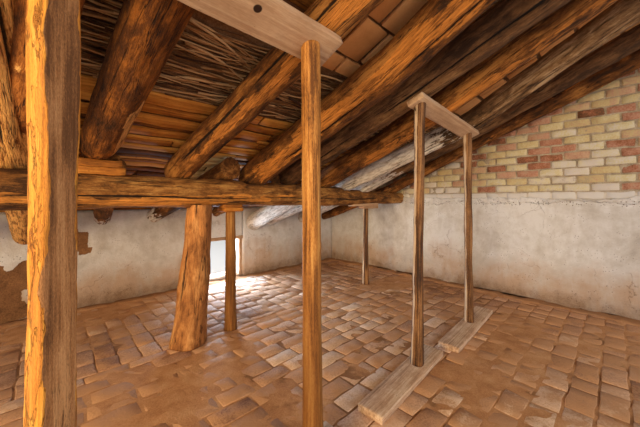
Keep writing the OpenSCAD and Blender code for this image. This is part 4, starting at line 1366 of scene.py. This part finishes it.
def wall(name, node, along_x, start, end, low, top_of, levels, relief, seed, bare_of=None):
    """A wall as a pile of outlines: out along its inner face and back along its outer one, each
    point moved square to its face by noise. Heights go from low to the top at that place in even
    shares."""
    inner, outer = (Y_EAVE, Y_OUTER) if along_x else (X_GABLE, X_OUTSIDE)
    face = np.linspace(0, 1, max(6, int((end - start)/PLASTER_STEP)))
    edge = np.linspace(0, 0.5, 5)[1:]
    run = np.concatenate([np.zeros(4), face, np.ones(4)])
    depth = np.concatenate([edge[::-1], np.zeros(len(face)), edge])
    run = start + np.concatenate([run, run[::-1]])*(end - start)
    depth = np.concatenate([depth, 1 - depth[::-1]])
    through = inner + depth*(outer - inner)
    x, y = (run, through) if along_x else (through, run)
    t = np.linspace(0, 1, levels)[:, None]
    z = low + (top_of(y) - low)[None]*t
    points = np.stack([x + 0*z, y + 0*z, z], -1)
    bare = bare_of(points) if bare_of else np.zeros_like(z)
    push = relief*fractal(points*2.3, seed, 5, 0.55) - FALLEN_DEPTH*bare
    way = math.copysign(1, inner - outer)
    facing = np.where(depth < 0.02, way, np.where(depth > 0.98, -way, 0.0))
    points[..., 1 if along_x else 0] += facing*push*np.minimum(1, np.minimum(t, 1 - t)*8 + 0.3)
    skin(name, node, "lime_plaster", PLASTER, points, caps="ribbon", bare=bare)


def spots_bare(centres, seed):
    """Mask of ragged round patches given as (x, y, z, radius)."""
    def mask(points):
        """1 within each radius and 0 outside it, at a distance changed by noise."""
        ragged = 0.5*fractal(points*6, seed, 4)
        value = np.zeros(points.shape[:-1])
        for *middle, radius in centres:
            far = np.linalg.norm(points - np.array(middle), axis=-1)/radius
            value = np.maximum(value, 1 - smooth(far + ragged, 0.8, 1.0))
        return value
    return mask


def make_walls():
    """Whitewashed earth walls, rough inside and outside."""
    def under_deck(y):
        """Height just below the deck."""
        return deck_z(y) - AIR

    window_low, window_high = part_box("window_sill")
    fallen = spots_bare([(-2.02, Y_EAVE, 0.75, 0.26), (-2.3, Y_EAVE, 0.45, 0.30),
                         (-1.62, Y_EAVE, 1.02, 0.14)], 5)
    for name, start, end, low in (
            ("eave_wall_left", X_OPEN, window_low.x, 0.0), ("eave_wall_right", window_high.x, X_GABLE, 0.0),
            ("eave_wall_over_window", window_low.x, window_high.x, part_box("window_lintel")[1].z)):
        wall(f"{name}_plaster", name, True, start, end, low, under_deck, 36, 0.012, 13, fallen)
    wall("window_sill_plaster", "window_sill", True, window_low.x, window_high.x, 0.0,
         lambda y: np.full_like(y, window_high.z), 12, 0.005, 14)
    wall("gable_wall_plaster", "gable_wall_base", False, Y_NEAR, Y_OUTER, 0.0,
         lambda y: np.minimum(BASE_TOP, under_deck(y)), 44, 0.014, 15)


BRICK_PITCH = 0.258
BRICK_JOINT = 0.018
COURSE = 0.102
BRICK_W = 0.115
BRICK_H = 0.085
# How far the mortar lies behind the bricks' faces
MORTAR_BACK = 0.008
# Courses from this one on are less pale, painted darker with each course up as shade under the deck; courses
# below it are paler
SHADE_FROM_COURSE = 6


def make_mortar():
    """A body of rough mortar: outlines round both faces, from the plaster up to the deck."""
    inner, outer = X_GABLE + MORTAR_BACK, X_OUTSIDE - MORTAR_BACK
    run = np.linspace(Y_NEAR + 0.006, deck_reach(BASE_TOP), 110)
    depth = np.repeat([inner, outer], len(run))
    y = np.concatenate([run, run[::-1]])
    t = np.linspace(0, 1, 46)[:, None]
    z = BASE_TOP + (np.maximum(deck_z(y) - 0.004, BASE_TOP) - BASE_TOP)[None]*t
    points = np.stack([depth + 0*z, y + 0*z, z], -1)
    points[..., 0] += np.where(depth < (inner + outer)/2, -1, 1)*0.004*fractal(points*11, 22, 4)
    skin("gable_mortar", "gable_brickwork", "brickwork", MORTAR, points, caps="ribbon")


def make_brickwork():
    """The gable's bricks in running bond on both faces, each course as long as the deck allows."""
    make_mortar()
    rows = []
    for course in range(int((deck_z(Y_NEAR) - BASE_TOP)/COURSE)):
        z = BASE_TOP + (course + 0.5)*COURSE
        limit = deck_reach(z + COURSE/2)
        start = Y_NEAR + 0.002 - (BRICK_PITCH/2 if course % 2 else 0)
        for k in range(int((limit - start)/BRICK_PITCH) + 1):
            a = max(start + k*BRICK_PITCH, Y_NEAR + 0.002)
            b = min(start + (k + 1)*BRICK_PITCH - BRICK_JOINT, limit)
            if b - a > 0.05:
                rows.append((a, b, z, course))
    a, b, z, course = np.array(rows).T
    count = len(rows)
    rng = np.random.default_rng(7)
    # Painted shade: the tint falls with each course up towards the deck.
    tint = np.clip(rng.beta(1.5, 1.3, count) - 0.035*(course - SHADE_FROM_COURSE), 0, 1)
    bricks = Piece()
    for face, way in ((X_GABLE, 1), (X_OUTSIDE, -1)):
        x = np.full(count, face + way*(BRICK_W/2 - 0.001)) + rng.normal(0, 0.0025, count)
        centre = np.stack([x, (a + b)/2, z + rng.normal(0, 0.002, count)], -1)
        size = np.stack([b - a, np.full(count, BRICK_W), BRICK_H + rng.normal(0, 0.002, count)], -1)
        blocks(bricks, centre, CROSS_AXES, size, rings=6, bevel=0.009, rough=0.0065, seed=31, rate=26.0,
               tint=tint, wash=(course < 1)*0.9, bare=rng.uniform(0, 0.45, count))
    bricks.build("gable_bricks", None, BRICK)
    make_plaster_lip()


def make_plaster_lip():
    """The broken upper edge of the plaster: a ragged ridge along the foot of the bricks, as an
    outline whose height and depth change by noise along the wall."""
    y = np.linspace(Y_NEAR + 0.03, Y_EAVE - 0.02, 400)[:, None]
    spots = np.stack([0*y, y, 0*y], -1)[:, 0]
    low = -0.048 + 0.045*fractal(spots*2.6, 302, 6, 0.6)
    high = np.maximum(0.018 + 0.030*fractal(spots*3.1, 301, 6, 0.6), low + 0.012)
    out = 0.015 + 0.022*np.maximum(-0.7, fractal(spots*7.0, 303, 5))
    # The outline: how far each point stands out, how high it is, and how bare
    stands = np.array([0.3, 0.5, 0.9, 1.0, 0.7, -1.0, -1.0, -1.0, -0.2, 0.1])
    rises = np.array([0.0, 0.15, 0.5, 0.8, 1.0, 1.0, 0.5, 0.0, 0.0, 0.05])
    shows_earth = np.array([0.42, 0.34, 0.16, 0.0, 0.24, 0.0, 0.0, 0.0, 0.4, 0.46])
    z = BASE_TOP + low[:, None] + (high - low)[:, None]*rises
    x = X_GABLE - out[:, None]*stands
    points = np.stack([x, y + 0*x, z], -1)
    points += 0.0060*np.stack([fractal(points*60, 304 + k, 3) for k in range(3)], -1)
    skin("plaster_lip", None, "lime_plaster", PLASTER, points,
         bare=np.broadcast_to(shows_earth, points.shape[:2]))


def make_window():
    """Lintel boards side by side and the squared jamb."""
    low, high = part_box("window_lintel")
    edges = np.linspace(low.y, high.y, 4)
    plain_blocks("window_lintel_boards", "window_lintel", "plank_wood", PLANK,
                 [((low.x, a + SEAM, low.z + 0.002), (high.x, b - SEAM, high.z - SEAM))
                  for a, b in zip(edges, edges[1:])], 91)
    low, high = (np.array(corner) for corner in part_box("window_jamb"))
    block_piece("window_jamb_post", "window_jamb", "plank_wood", PLANK, [(low + high)/2], UPRIGHT_AXES,
                [(high - low)[[2, 0, 1]]], rings=20, rough=0.003, seed=92, tint=0.4)


# Floor

TILE_LENGTH = 0.300
TILE_ROW = 0.158
TILE_T = 0.026
SHORTEST_TILE = 0.04
TILES_TURN = Y_PURLIN + 0.010
# How deep the joints are, and how far the dust stays under the tiles' tops where it is thickest
JOINT_DEPTH = 0.011
DUST_BELOW = 0.0036
# Where dust and mortar cover the tiles: middle, half sizes, and how fully
DUSTY = [(-1.75, 0.35, 1.05, 0.62, 1.0), (-0.75, 0.62, 0.60, 0.30, 0.75), (1.3, 0.95, 1.7, 0.15, 0.75),
         (2.4, 0.75, 0.8, 0.30, 0.95), (1.05, -1.00, 1.45, 0.22, 0.85), (-0.2, 1.00, 0.9, 0.12, 0.9),
         (0.1, -1.75, 1.4, 0.7, 0.62), (-0.85, -0.35, 0.40, 0.6, 0.7), (-1.5, 2.4, 0.9, 0.4, 0.9),
         (2.2, -1.9, 1.5, 0.9, 0.58), (1.1, -1.15, 1.0, 0.40, 0.95)]
# How far the rubble reaches from the walls
RIDGE_REACH = 0.17


def dust_cover(x, y):
    """Share of the floor that dust covers at a place, with ragged edges."""
    spots = level_spots(x, y)
    ragged = 0.30*fractal(spots*2.2, 71, 5) + 0.12*fractal(spots*13, 72, 3)
    cover = 0.33 + smooth(0.30 + 0.5*fractal(spots*0.9, 73, 3) + ragged, 0.55, 1.1)*0.40
    for cx, cy, rx, ry, share in DUSTY:
        far = np.sqrt(((x - cx)/rx)**2 + ((y - cy)/ry)**2)
        cover = np.maximum(cover, share*(1 - smooth(far + ragged, 0.55, 1.35)))
    return cover


def tile_rows(rng, low, high, across_low, across_high):
    """Courses of tiles between two lines: along their length, then from row to row."""
    rows = []
    across = across_low
    while across < across_high - SHORTEST_TILE:
        width = min(TILE_ROW + rng.normal(0, 0.004), across_high - across)
        start = low - rng.uniform(0.02, TILE_LENGTH)
        while start < high - SHORTEST_TILE:
            length = TILE_LENGTH*(1 if rng.random() < 0.82 else rng.uniform(0.45, 0.8)) + rng.normal(0, 0.006)
            a, b = max(start, low), min(start + length, high)
            if b - a > SHORTEST_TILE:
                rows.append((a, b, across, across + width))
            start += length
        across += width
    return np.array(rows).T


def floor_tiles(tiles, rng, crosswise):
    """One of the floor's two fields: tiles along the room up to the purlin, or across it beyond.
    Their rows wander by noise, and each tile has its own joint, turn, tilt and depth in the bed."""
    if crosswise:
        a, b, c, d = tile_rows(rng, TILES_TURN, Y_EAVE, X_OPEN, X_GABLE)
        x, y = (c + d)/2, (a + b)/2
    else:
        a, b, c, d = tile_rows(rng, X_OPEN, X_GABLE, Y_NEAR, TILES_TURN)
        x, y = (a + b)/2, (c + d)/2
    count = len(a)
    wander_x = 0.006*fractal(level_spots(y*1.1, x*0.7), 75, 3)
    wander_y = 0.009*fractal(level_spots(x*1.1, y*0.7), 76, 3)
    x, y = x + wander_x, y + wander_y
    joint = rng.uniform(0.007, 0.016, (count, 2))
    dust = dust_cover(x, y)
    centre = np.stack([x, y, np.full(count, FLOOR - 0.014)], -1)
    centre[:, 2] += 0.003*fractal(centre*1.1, 3, 3) + rng.normal(0, 0.0010, count) - 0.003
    centre[:, 2] -= 0.002*smooth(dust, 0.60, 0.90)
    size = np.stack([b - a - joint[:, 0], d - c - joint[:, 1], np.full(count, TILE_T)], -1)
    axes = turned(CROSS_AXES if crosswise else LEVEL_AXES, rng.normal(0, 0.016, count))
    axes = tilted(axes, rng.normal(0, 0.004, count))
    tint = np.clip(rng.normal(0.5, 0.17, count) + 0.28*fractal(centre*0.7, 77, 2) + 0.2*smooth(dust, 0.4, 0.8)
                   - 0.16*smooth(x, 0.6, 2.4), 0, 1)
    blocks(tiles, centre, axes, size, rings=6, bevel=0.012, rough=0.0072, seed=41, rate=20.0, tint=tint,
           bare=np.clip(rng.uniform(0.05, 0.45, count) + 0.7*dust, 0, 1), wash=whitish_by_window)


def make_floor():
    """Clay tiles in two fields, sunk in a bed of dust that covers some places, over earth."""
    rng = np.random.default_rng(17)
    tiles = Piece()
    floor_tiles(tiles, rng, False)
    floor_tiles(tiles, rng, True)
    tiles.build("floor_clay_tiles", None, FLOOR_CLAY)
    corners = (X_OPEN, X_GABLE, Y_NEAR, Y_EAVE)
    slab("floor_joint_dust", "floor_tiles", "floor_clay", DUST, corners,
         lambda x, y: np.full_like(x, BED_TOP + 0.001), dust_top, 0.030, flat_bottom=True,
         bare=lambda x, y: smooth(dust_top(x, y), FLOOR - 0.0095, FLOOR - 0.0050), wash=wall_rubble)
    slab("floor_bed_earth", "floor_bed", "earth_floor", BED, corners,
         lambda x, y: np.zeros_like(x), lambda x, y: np.full_like(x, BED_TOP), 0.10, edge=0.006)


def whitish_by_window(points):
    """Share of a whitish tone on the tiles: most at the foot of the window, none past an oval."""
    far = np.hypot((points[..., 0] - 0.40)/1.5, (points[..., 1] - Y_EAVE)/1.6)
    return 0.60*(1 - smooth(far, 0.1, 1.0))


def wall_rubble(x, y):
    """Share of the rubble that lies along the foot of both walls."""
    ragged = 0.05*fractal(level_spots(x, y)*4, 46, 4)
    return smooth(np.maximum(x - X_GABLE, y - Y_EAVE) + ragged, -RIDGE_REACH, -0.02)


def dust_top(x, y):
    """Height of the dust: in the joints, over the tiles where it covers them, and in a lumpy ridge
    along the walls."""
    spots = level_spots(x, y)
    return (FLOOR - JOINT_DEPTH + 0.0018*fractal(spots*7, 44, 4) + 0.0009*fractal(spots*30, 45, 2)
            + dust_cover(x, y)*(JOINT_DEPTH - DUST_BELOW)
            + 0.026*wall_rubble(x, y)*(1 + 0.6*fractal(spots*11, 47, 3)))


def slab(name, node, slot, material, corners, low_of, high_of, step, edge=0.0, flat_bottom=False, **layers):
    """A slab as a row of outlines across X: out over its top and back under its bottom, where a flat
    bottom has only its two edges. Layers are functions of the place."""
    x0, x1, y0, y1 = corners
    x = np.linspace(x0, x1, int((x1 - x0)/step) + 1)
    y = np.linspace(y0, y1, int((y1 - y0)/step) + 1)
    grid_x, grid_y = np.meshgrid(x, y, indexing="ij")
    top = np.stack([grid_x, grid_y, high_of(grid_x, grid_y)], -1)
    bottom = np.stack([grid_x, grid_y, low_of(grid_x, grid_y)], -1)[:, ::-1]
    if flat_bottom:
        bottom = bottom[:, [0, -1]]
    rows = np.concatenate([top, bottom], axis=1)
    if edge:
        rows[..., 1] += edge*fractal(rows*8, 3, 4)*(np.abs(rows[..., 1] - y0) < step/2)
    skin(name, node, slot, material, rows, caps="fan" if flat_bottom else "ribbon",
         **{layer: value(rows[..., 0], rows[..., 1]) for layer, value in layers.items()})


# Roof deck

def on_slope(x, y, lift):
    """A point over the deck's underside, lifted square to the slope."""
    across, up = square_up(y)
    return np.stack([x, y + lift*across, deck_z(y) + lift*up], -1)


def slope_axes(y):
    """Along the room, down the slope and square to it, for each block at its line across the room."""
    across, up = square_up(np.asarray(y, float))
    zero = np.zeros_like(across)
    return np.stack([np.stack([zero + 1, zero, zero], -1), np.stack([zero, up, -across], -1),
                     np.stack([zero, across, up], -1)], axis=1)


def deck_boards(piece, x0, x1, y0, y1, seed):
    """Split boards across the rafters, in courses down the slope, with uneven gaps."""
    rng = np.random.default_rng(seed)
    rows = []
    y = y0
    while y < y1 - 0.03:
        width = min(rng.uniform(0.04, 0.14), y1 - y)
        x = x0 - rng.uniform(0, 0.8)
        while x < x1:
            length = rng.uniform(1.0, 2.1)
            a, b = max(x, x0), min(x + length, x1)
            if b - a > 0.15:
                rows.append((a, b, y + width/2 + rng.normal(0, 0.004), width*rng.uniform(0.74, 0.96),
                             rng.uniform(0.014, 0.028), rng.uniform(0, 0.012)))
            x += length + rng.uniform(0.004, 0.03)
        y += width
    a, b, y, width, thick, lift = np.array(rows).T
    centre = on_slope((a + b)/2, y, thick/2 + 0.002 + lift)
    size = np.stack([b - a, width*SLANT, thick], -1)
    axes = turned(slope_axes(y), rng.normal(0, 0.012, len(rows)))
    blocks(piece, centre, axes, size, rings=15, seed=seed, rough=0.008, rate=6.0, corner_points=2,
           tint=rng.uniform(0, 1, len(rows)), wash=painted_light_spot)


def painted_light_spot(points):
    """Share of a painted pool of daylight on the boards over the middle of the purlin: a round spot with a
    soft edge.
    """
    far = np.hypot((points[..., 0] + 0.54)/0.44, (points[..., 1] - 1.40)/0.44)
    return 0.9*(1 - smooth(far, 0.5, 1.1))


ROD_SPACING = 0.011
ROD_LENGTH = 1.15
ROD_STATIONS = 14


def brushwood(x0, x1, y0, y1, seed):
    """Thin crooked rods across the rafters, in a loose double layer: six-sided rings, thinner
    towards one end, round middles that noise moves down the slope and off it."""
    rng = np.random.default_rng(seed)
    count = int((y1 - y0)/ROD_SPACING*(x1 - x0)/ROD_LENGTH)
    length = rng.uniform(0.7, 1.6, count)
    start = rng.uniform(x0 - 0.5, x1 - 0.2, count)
    t = np.linspace(0, 1, ROD_STATIONS)
    x = np.clip(start[:, None] + length[:, None]*t, x0, x1)
    thin = rng.uniform(0.003, 0.009, count)[:, None]
    radius = thin*(1 - 0.45*t)*np.where(rng.random(count) < 0.12, 1.6, 1.0)[:, None]
    y = rng.uniform(y0 + 0.015, y1 - 0.015, count)[:, None] + 0*t
    spots = level_spots(x*1.8, np.broadcast_to(np.arange(count)[:, None]*3.7, x.shape))
    askew = rng.normal(0, 1, count)*np.where(rng.random(count) < 0.35, 0.18, 0.04)
    y = np.clip(y + 0.055*fractal(spots, seed, 3) + askew[:, None]*(t - 0.5), y0 + 0.012, y1 - 0.012)
    lift = rng.uniform(0.004, 0.030, count)[:, None] + 0.010*fractal(spots + 50, seed, 2)
    lift = np.clip(lift, -0.004, 0.034)
    keep = (x[:, -1] - x[:, 0]) > 0.2
    x, y, lift, radius = x[keep], y[keep], lift[keep], radius[keep]
    angle = np.arange(6)*np.pi/3
    ring = np.cos(angle)[:, None]*SLOPE_AXES[1] + np.sin(angle)[:, None]*SLOPE_AXES[2]
    points = on_slope(x, y, lift)[:, :, None] + ring*radius[..., None, None]
    place = np.stack(np.broadcast_arrays((x - x[:, :1])[..., None], radius[..., None]*np.cos(angle),
                                         radius[..., None]*np.sin(angle)), -1)
    place = place + rng.uniform(-9, 9, (len(x), 1, 1, 3))
    skin("deck_brushwood", "stick_deck", "deck_sticks", STICK, points, place=place,
         tint=rng.uniform(0, 1, len(x)))


DECK_TILE = 0.285
DECK_TILE_T = 0.026


def flat_tiles(x0, x1, y0, y1, seed):
    """Flat clay tiles laid from rafter to rafter, with open mortar joints."""
    rng = np.random.default_rng(seed)
    rows = []
    for j in range(int((y1 - y0)/DECK_TILE) + 1):
        for i in range(int((x1 - x0)/DECK_TILE) + 2):
            a = max(x0 + (i - 0.5*(j % 2))*DECK_TILE, x0)
            b = min(x0 + (i + 1 - 0.5*(j % 2))*DECK_TILE, x1)
            c, d = y0 + j*DECK_TILE, min(y0 + (j + 1)*DECK_TILE, y1)
            if b - a > 0.05 and d - c > 0.05:
                rows.append((a, b, c, d))
    a, b, c, d = np.array(rows).T
    count = len(rows)
    joint = rng.uniform(0.016, 0.044, (count, 2))
    size = np.stack([b - a - joint[:, 0], (d - c - joint[:, 1])*SLANT, np.full(count, DECK_TILE_T)], -1)
    centre = on_slope((a + b)/2, (c + d)/2, DECK_TILE_T/2 + rng.uniform(0.001, 0.008, count))
    axes = tilted(turned(SLOPE_AXES, rng.normal(0, 0.015, count)), rng.normal(0, 0.008, count))
    block_piece("deck_clay_tiles", "clay_deck", "deck_clay", DECK_CLAY, centre, axes, size, rings=6,
                seed=seed, bevel=0.004, rough=0.003, tint=rng.uniform(0.2, 0.9, count),
                bare=rng.uniform(0, 0.3, count))


def make_deck():
    """Split boards near the eaves, brushwood above them and flat clay tiles at the top."""
    sticks_low, sticks_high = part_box("stick_deck")
    clay_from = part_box("clay_deck")[0].x
    boards = Piece()
    deck_boards(boards, X_OPEN, X_VERGE, sticks_high.y, Y_DRIP, 51)
    deck_boards(boards, X_OPEN, clay_from, Y_NEAR, sticks_low.y, 57)
    boards.build("deck_boards", "board_deck", DECK_WOOD)
    brushwood(X_OPEN, X_VERGE, sticks_low.y, sticks_high.y, 52)
    flat_tiles(clay_from, X_VERGE, Y_NEAR, sticks_low.y, 53)
    slab("roof_earth_bed", "roof_earth", "roof_mud", EARTH, (X_OPEN, X_VERGE, Y_NEAR, Y_DRIP),
         lambda x, y: deck_z(y) + (DECK_T - 0.003)*SLANT + 0.006*fractal(level_spots(x, y)*9, 61, 4),
         lambda x, y: deck_z(y) + (DECK_T + EARTH_T)*SLANT, 0.11, edge=0.012)


TILE_PITCH = 0.205
TILE_R = 0.070
TILE_WALL = 0.014
# Each course starts this far up from the last one, and each tile is this long
TILE_GAUGE = 0.36
TILE_REACH = 0.47
CHANNEL_DEPTH = 0.046
CAP_R = 0.120
CAP_GAUGE = 0.40


def arc(angle, radius):
    """Outline of a half-round tile: out along its outer arc and back along its inner one."""
    outer = np.stack([np.sin(angle), np.cos(angle)], -1)
    return np.concatenate([outer*radius, outer[::-1]*(radius - TILE_WALL)])


def curved_tiles(piece, x, y0, y1, spread, lift, seed, up=1):
    """Half-round tiles in columns at x, overlapping down the slope. Each is an arc with a wall
    thickness, wider at one end, carried over a short straight run."""
    rng = np.random.default_rng(seed)
    courses = int((y1 - y0)*SLANT/TILE_GAUGE) + 1
    column, course = (v.ravel() for v in np.meshgrid(x, np.arange(courses), indexing="ij"))
    count = len(column)
    foot = y1 - course*TILE_GAUGE/SLANT
    head = np.maximum(foot - TILE_REACH/SLANT, y0)
    t = np.linspace(0, 1, 3)
    outline = arc(np.linspace(-spread, spread, 7), TILE_R)[None, None]
    width = (1 + (0.10 if up > 0 else -0.08)*(t - 0.5))[None, :, None]
    y = head[:, None] + (foot - head)[:, None]*t
    raised = lift + 0.018*t[None] + rng.normal(0, 0.002, (count, 1))
    across = column[:, None, None] + rng.normal(0, 0.003, (count, 1, 1)) + outline[..., 0]*width
    height = raised[:, :, None] + up*outline[..., 1]*width
    points = on_slope(across, np.broadcast_to(y[..., None], across.shape), height)
    tint = np.clip(rng.normal(0.5, 0.22, count), 0, 1)
    piece.loft(points, caps="ribbon", tint=tint, bare=rng.uniform(0, 0.5, count))


def make_roof():
    """Clay tiles outside: channels, covers over their joints, and half-round capping tiles."""
    base = DECK_T + EARTH_T
    columns = int((X_VERGE - X_OPEN)/TILE_PITCH)
    first = X_OPEN + (X_VERGE - X_OPEN - columns*TILE_PITCH)/2
    covers = first + (np.arange(columns) + 0.5)*TILE_PITCH
    channels = first + np.arange(1, columns)*TILE_PITCH
    low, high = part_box("roof_tiles")
    tiles = Piece()
    top = low.y + 0.02
    curved_tiles(tiles, covers, top, high.y - 0.02, math.radians(88), base + CHANNEL_DEPTH - 0.012, 54)
    curved_tiles(tiles, channels, top, high.y - 0.06, math.radians(70), base + TILE_R + 0.008, 55, up=-1)
    tiles.build("roof_clay_tiles", "roof_tiles", ROOF_CLAY)
    make_capping()


def make_capping():
    """Half-round tiles end to end along the top edge, bedded in mortar: arcs carried along the
    room, each a little wider at one end."""
    rng = np.random.default_rng(56)
    low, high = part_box("capping_tiles")
    y = (low.y + high.y)/2
    z = deck_z(y) + (DECK_T + EARTH_T)*SLANT
    count = int((high.x - low.x)/CAP_GAUGE) + 1
    start = low.x + np.arange(count)*CAP_GAUGE
    end = np.minimum(start + CAP_GAUGE + 0.05, high.x)
    outline = arc(np.linspace(-1.45, 1.45, 13) - SLOPE, CAP_R)[None, None]
    t = np.linspace(0, 1, 3)
    width = (1 - 0.07*(1 - t))[None, :, None]
    x = (start[:, None] + (end - start)[:, None]*t)[..., None] + 0*outline[..., 0]
    points = np.stack([x, y + outline[..., 0]*width + 0*x, z + outline[..., 1]*width + 0*x], -1)
    skin("capping_clay_tiles", "capping_tiles", "roof_clay", ROOF_CLAY, points, caps="ribbon",
         tint=rng.uniform(0.2, 0.8, count), bare=rng.uniform(0, 0.4, count))


make_rafters()
make_eave_rafters()
make_purlin()
make_top_log()
make_top_posts()
make_purlin_posts()
make_props()
make_packers()
make_planks()
make_walls()
make_brickwork()
make_window()
make_floor()
make_deck()
make_roof()


# Light and stage

STAGE_HALF = 40.0


def make_stage():
    """Pale floor under the bay: one square."""
    mesh = bpy.data.meshes.new("stage_floor")
    corners = [(x*STAGE_HALF, y*STAGE_HALF, 0) for x, y in ((-1, -1), (1, -1), (1, 1), (-1, 1))]
    mesh.from_pydata(corners, [], [(0, 1, 2, 3)])
    floor = bpy.data.objects.new("stage_floor", mesh)
    bpy.context.scene.collection.objects.link(floor)
    paint = Paint("stage_pale")
    paint.shader.inputs["Base Color"].default_value = (0.86, 0.85, 0.84, 1)
    paint.shader.inputs["Roughness"].default_value = 0.9
    mesh.materials.append(paint.material)


# Lamps: place, what each faces, width, height, watts, colour, and spread in degrees
LAMPS = {
    "open_end_light": ((-6.8, -1.9, 2.0), (-0.5, 0.5, 1.3), 3.6, 2.2, 107, (1.0, 0.74, 0.39), 75),
    "high_side_light": ((-1.0, -7.0, 3.0), (0.5, 1.0, 1.0), 6.0, 3.0, 200, (1.0, 0.97, 0.95), 180),
    "window_light": ((0.28, Y_OUTER - 0.06, 0.565), (0.75, -0.6, 0.25), 0.78, 0.60, 104,
                     (0.57, 0.76, 1.0), 160),
    "roof_light": ((-2.0, 4.0, 9.0), (0.0, 0.5, 2.0), 8.0, 8.0, 700, (1.0, 1.0, 1.0), 180),
}


def make_lamps():
    """Large soft lamps: from the open end, the open high side and the window, and over the roof."""
    for name, (spot, target, width, height, power, colour, spread) in LAMPS.items():
        data = bpy.data.lights.new(name, "AREA")
        data.spread = math.radians(spread)
        data.shape = "RECTANGLE"
        data.size = width
        data.size_y = height
        data.energy = power
        data.color = colour
        lamp = bpy.data.objects.new(name, data)
        lamp.location = spot
        lamp.rotation_euler = (Vector(target) - Vector(spot)).to_track_quat("-Z", "Y").to_euler()
        bpy.context.scene.collection.objects.link(lamp)


def make_world():
    """A pale world: at full strength for rays from the camera, off shiny surfaces and through clear
    ones, and at half strength for all others. The strength mixes the two by the greatest of three
    flags of the ray."""
    world = bpy.data.worlds.new("studio")
    bpy.context.scene.world = world
    world.use_nodes = True
    nodes, links = world.node_tree.nodes, world.node_tree.links
    seen = nodes.new("ShaderNodeLightPath")
    level = nodes.new("ShaderNodeMix")
    level.inputs["A"].default_value = 0.50
    level.inputs["B"].default_value = 1.0
    factor = seen.outputs["Is Camera Ray"]
    for ray in ("Is Glossy Ray", "Is Transmission Ray"):
        either = nodes.new("ShaderNodeMath")
        either.operation = "MAXIMUM"
        links.new(factor, either.inputs[0])
        links.new(seen.outputs[ray], either.inputs[1])
        factor = either.outputs[0]
    links.new(factor, level.inputs["Factor"])
    links.new(level.outputs["Result"], nodes["Background"].inputs["Strength"])
    nodes["Background"].inputs["Color"].default_value = (1.0, 0.99, 0.97, 1)


make_stage()
make_world()
make_lamps()

bpy.context.scene.view_settings.view_transform = "Standard"
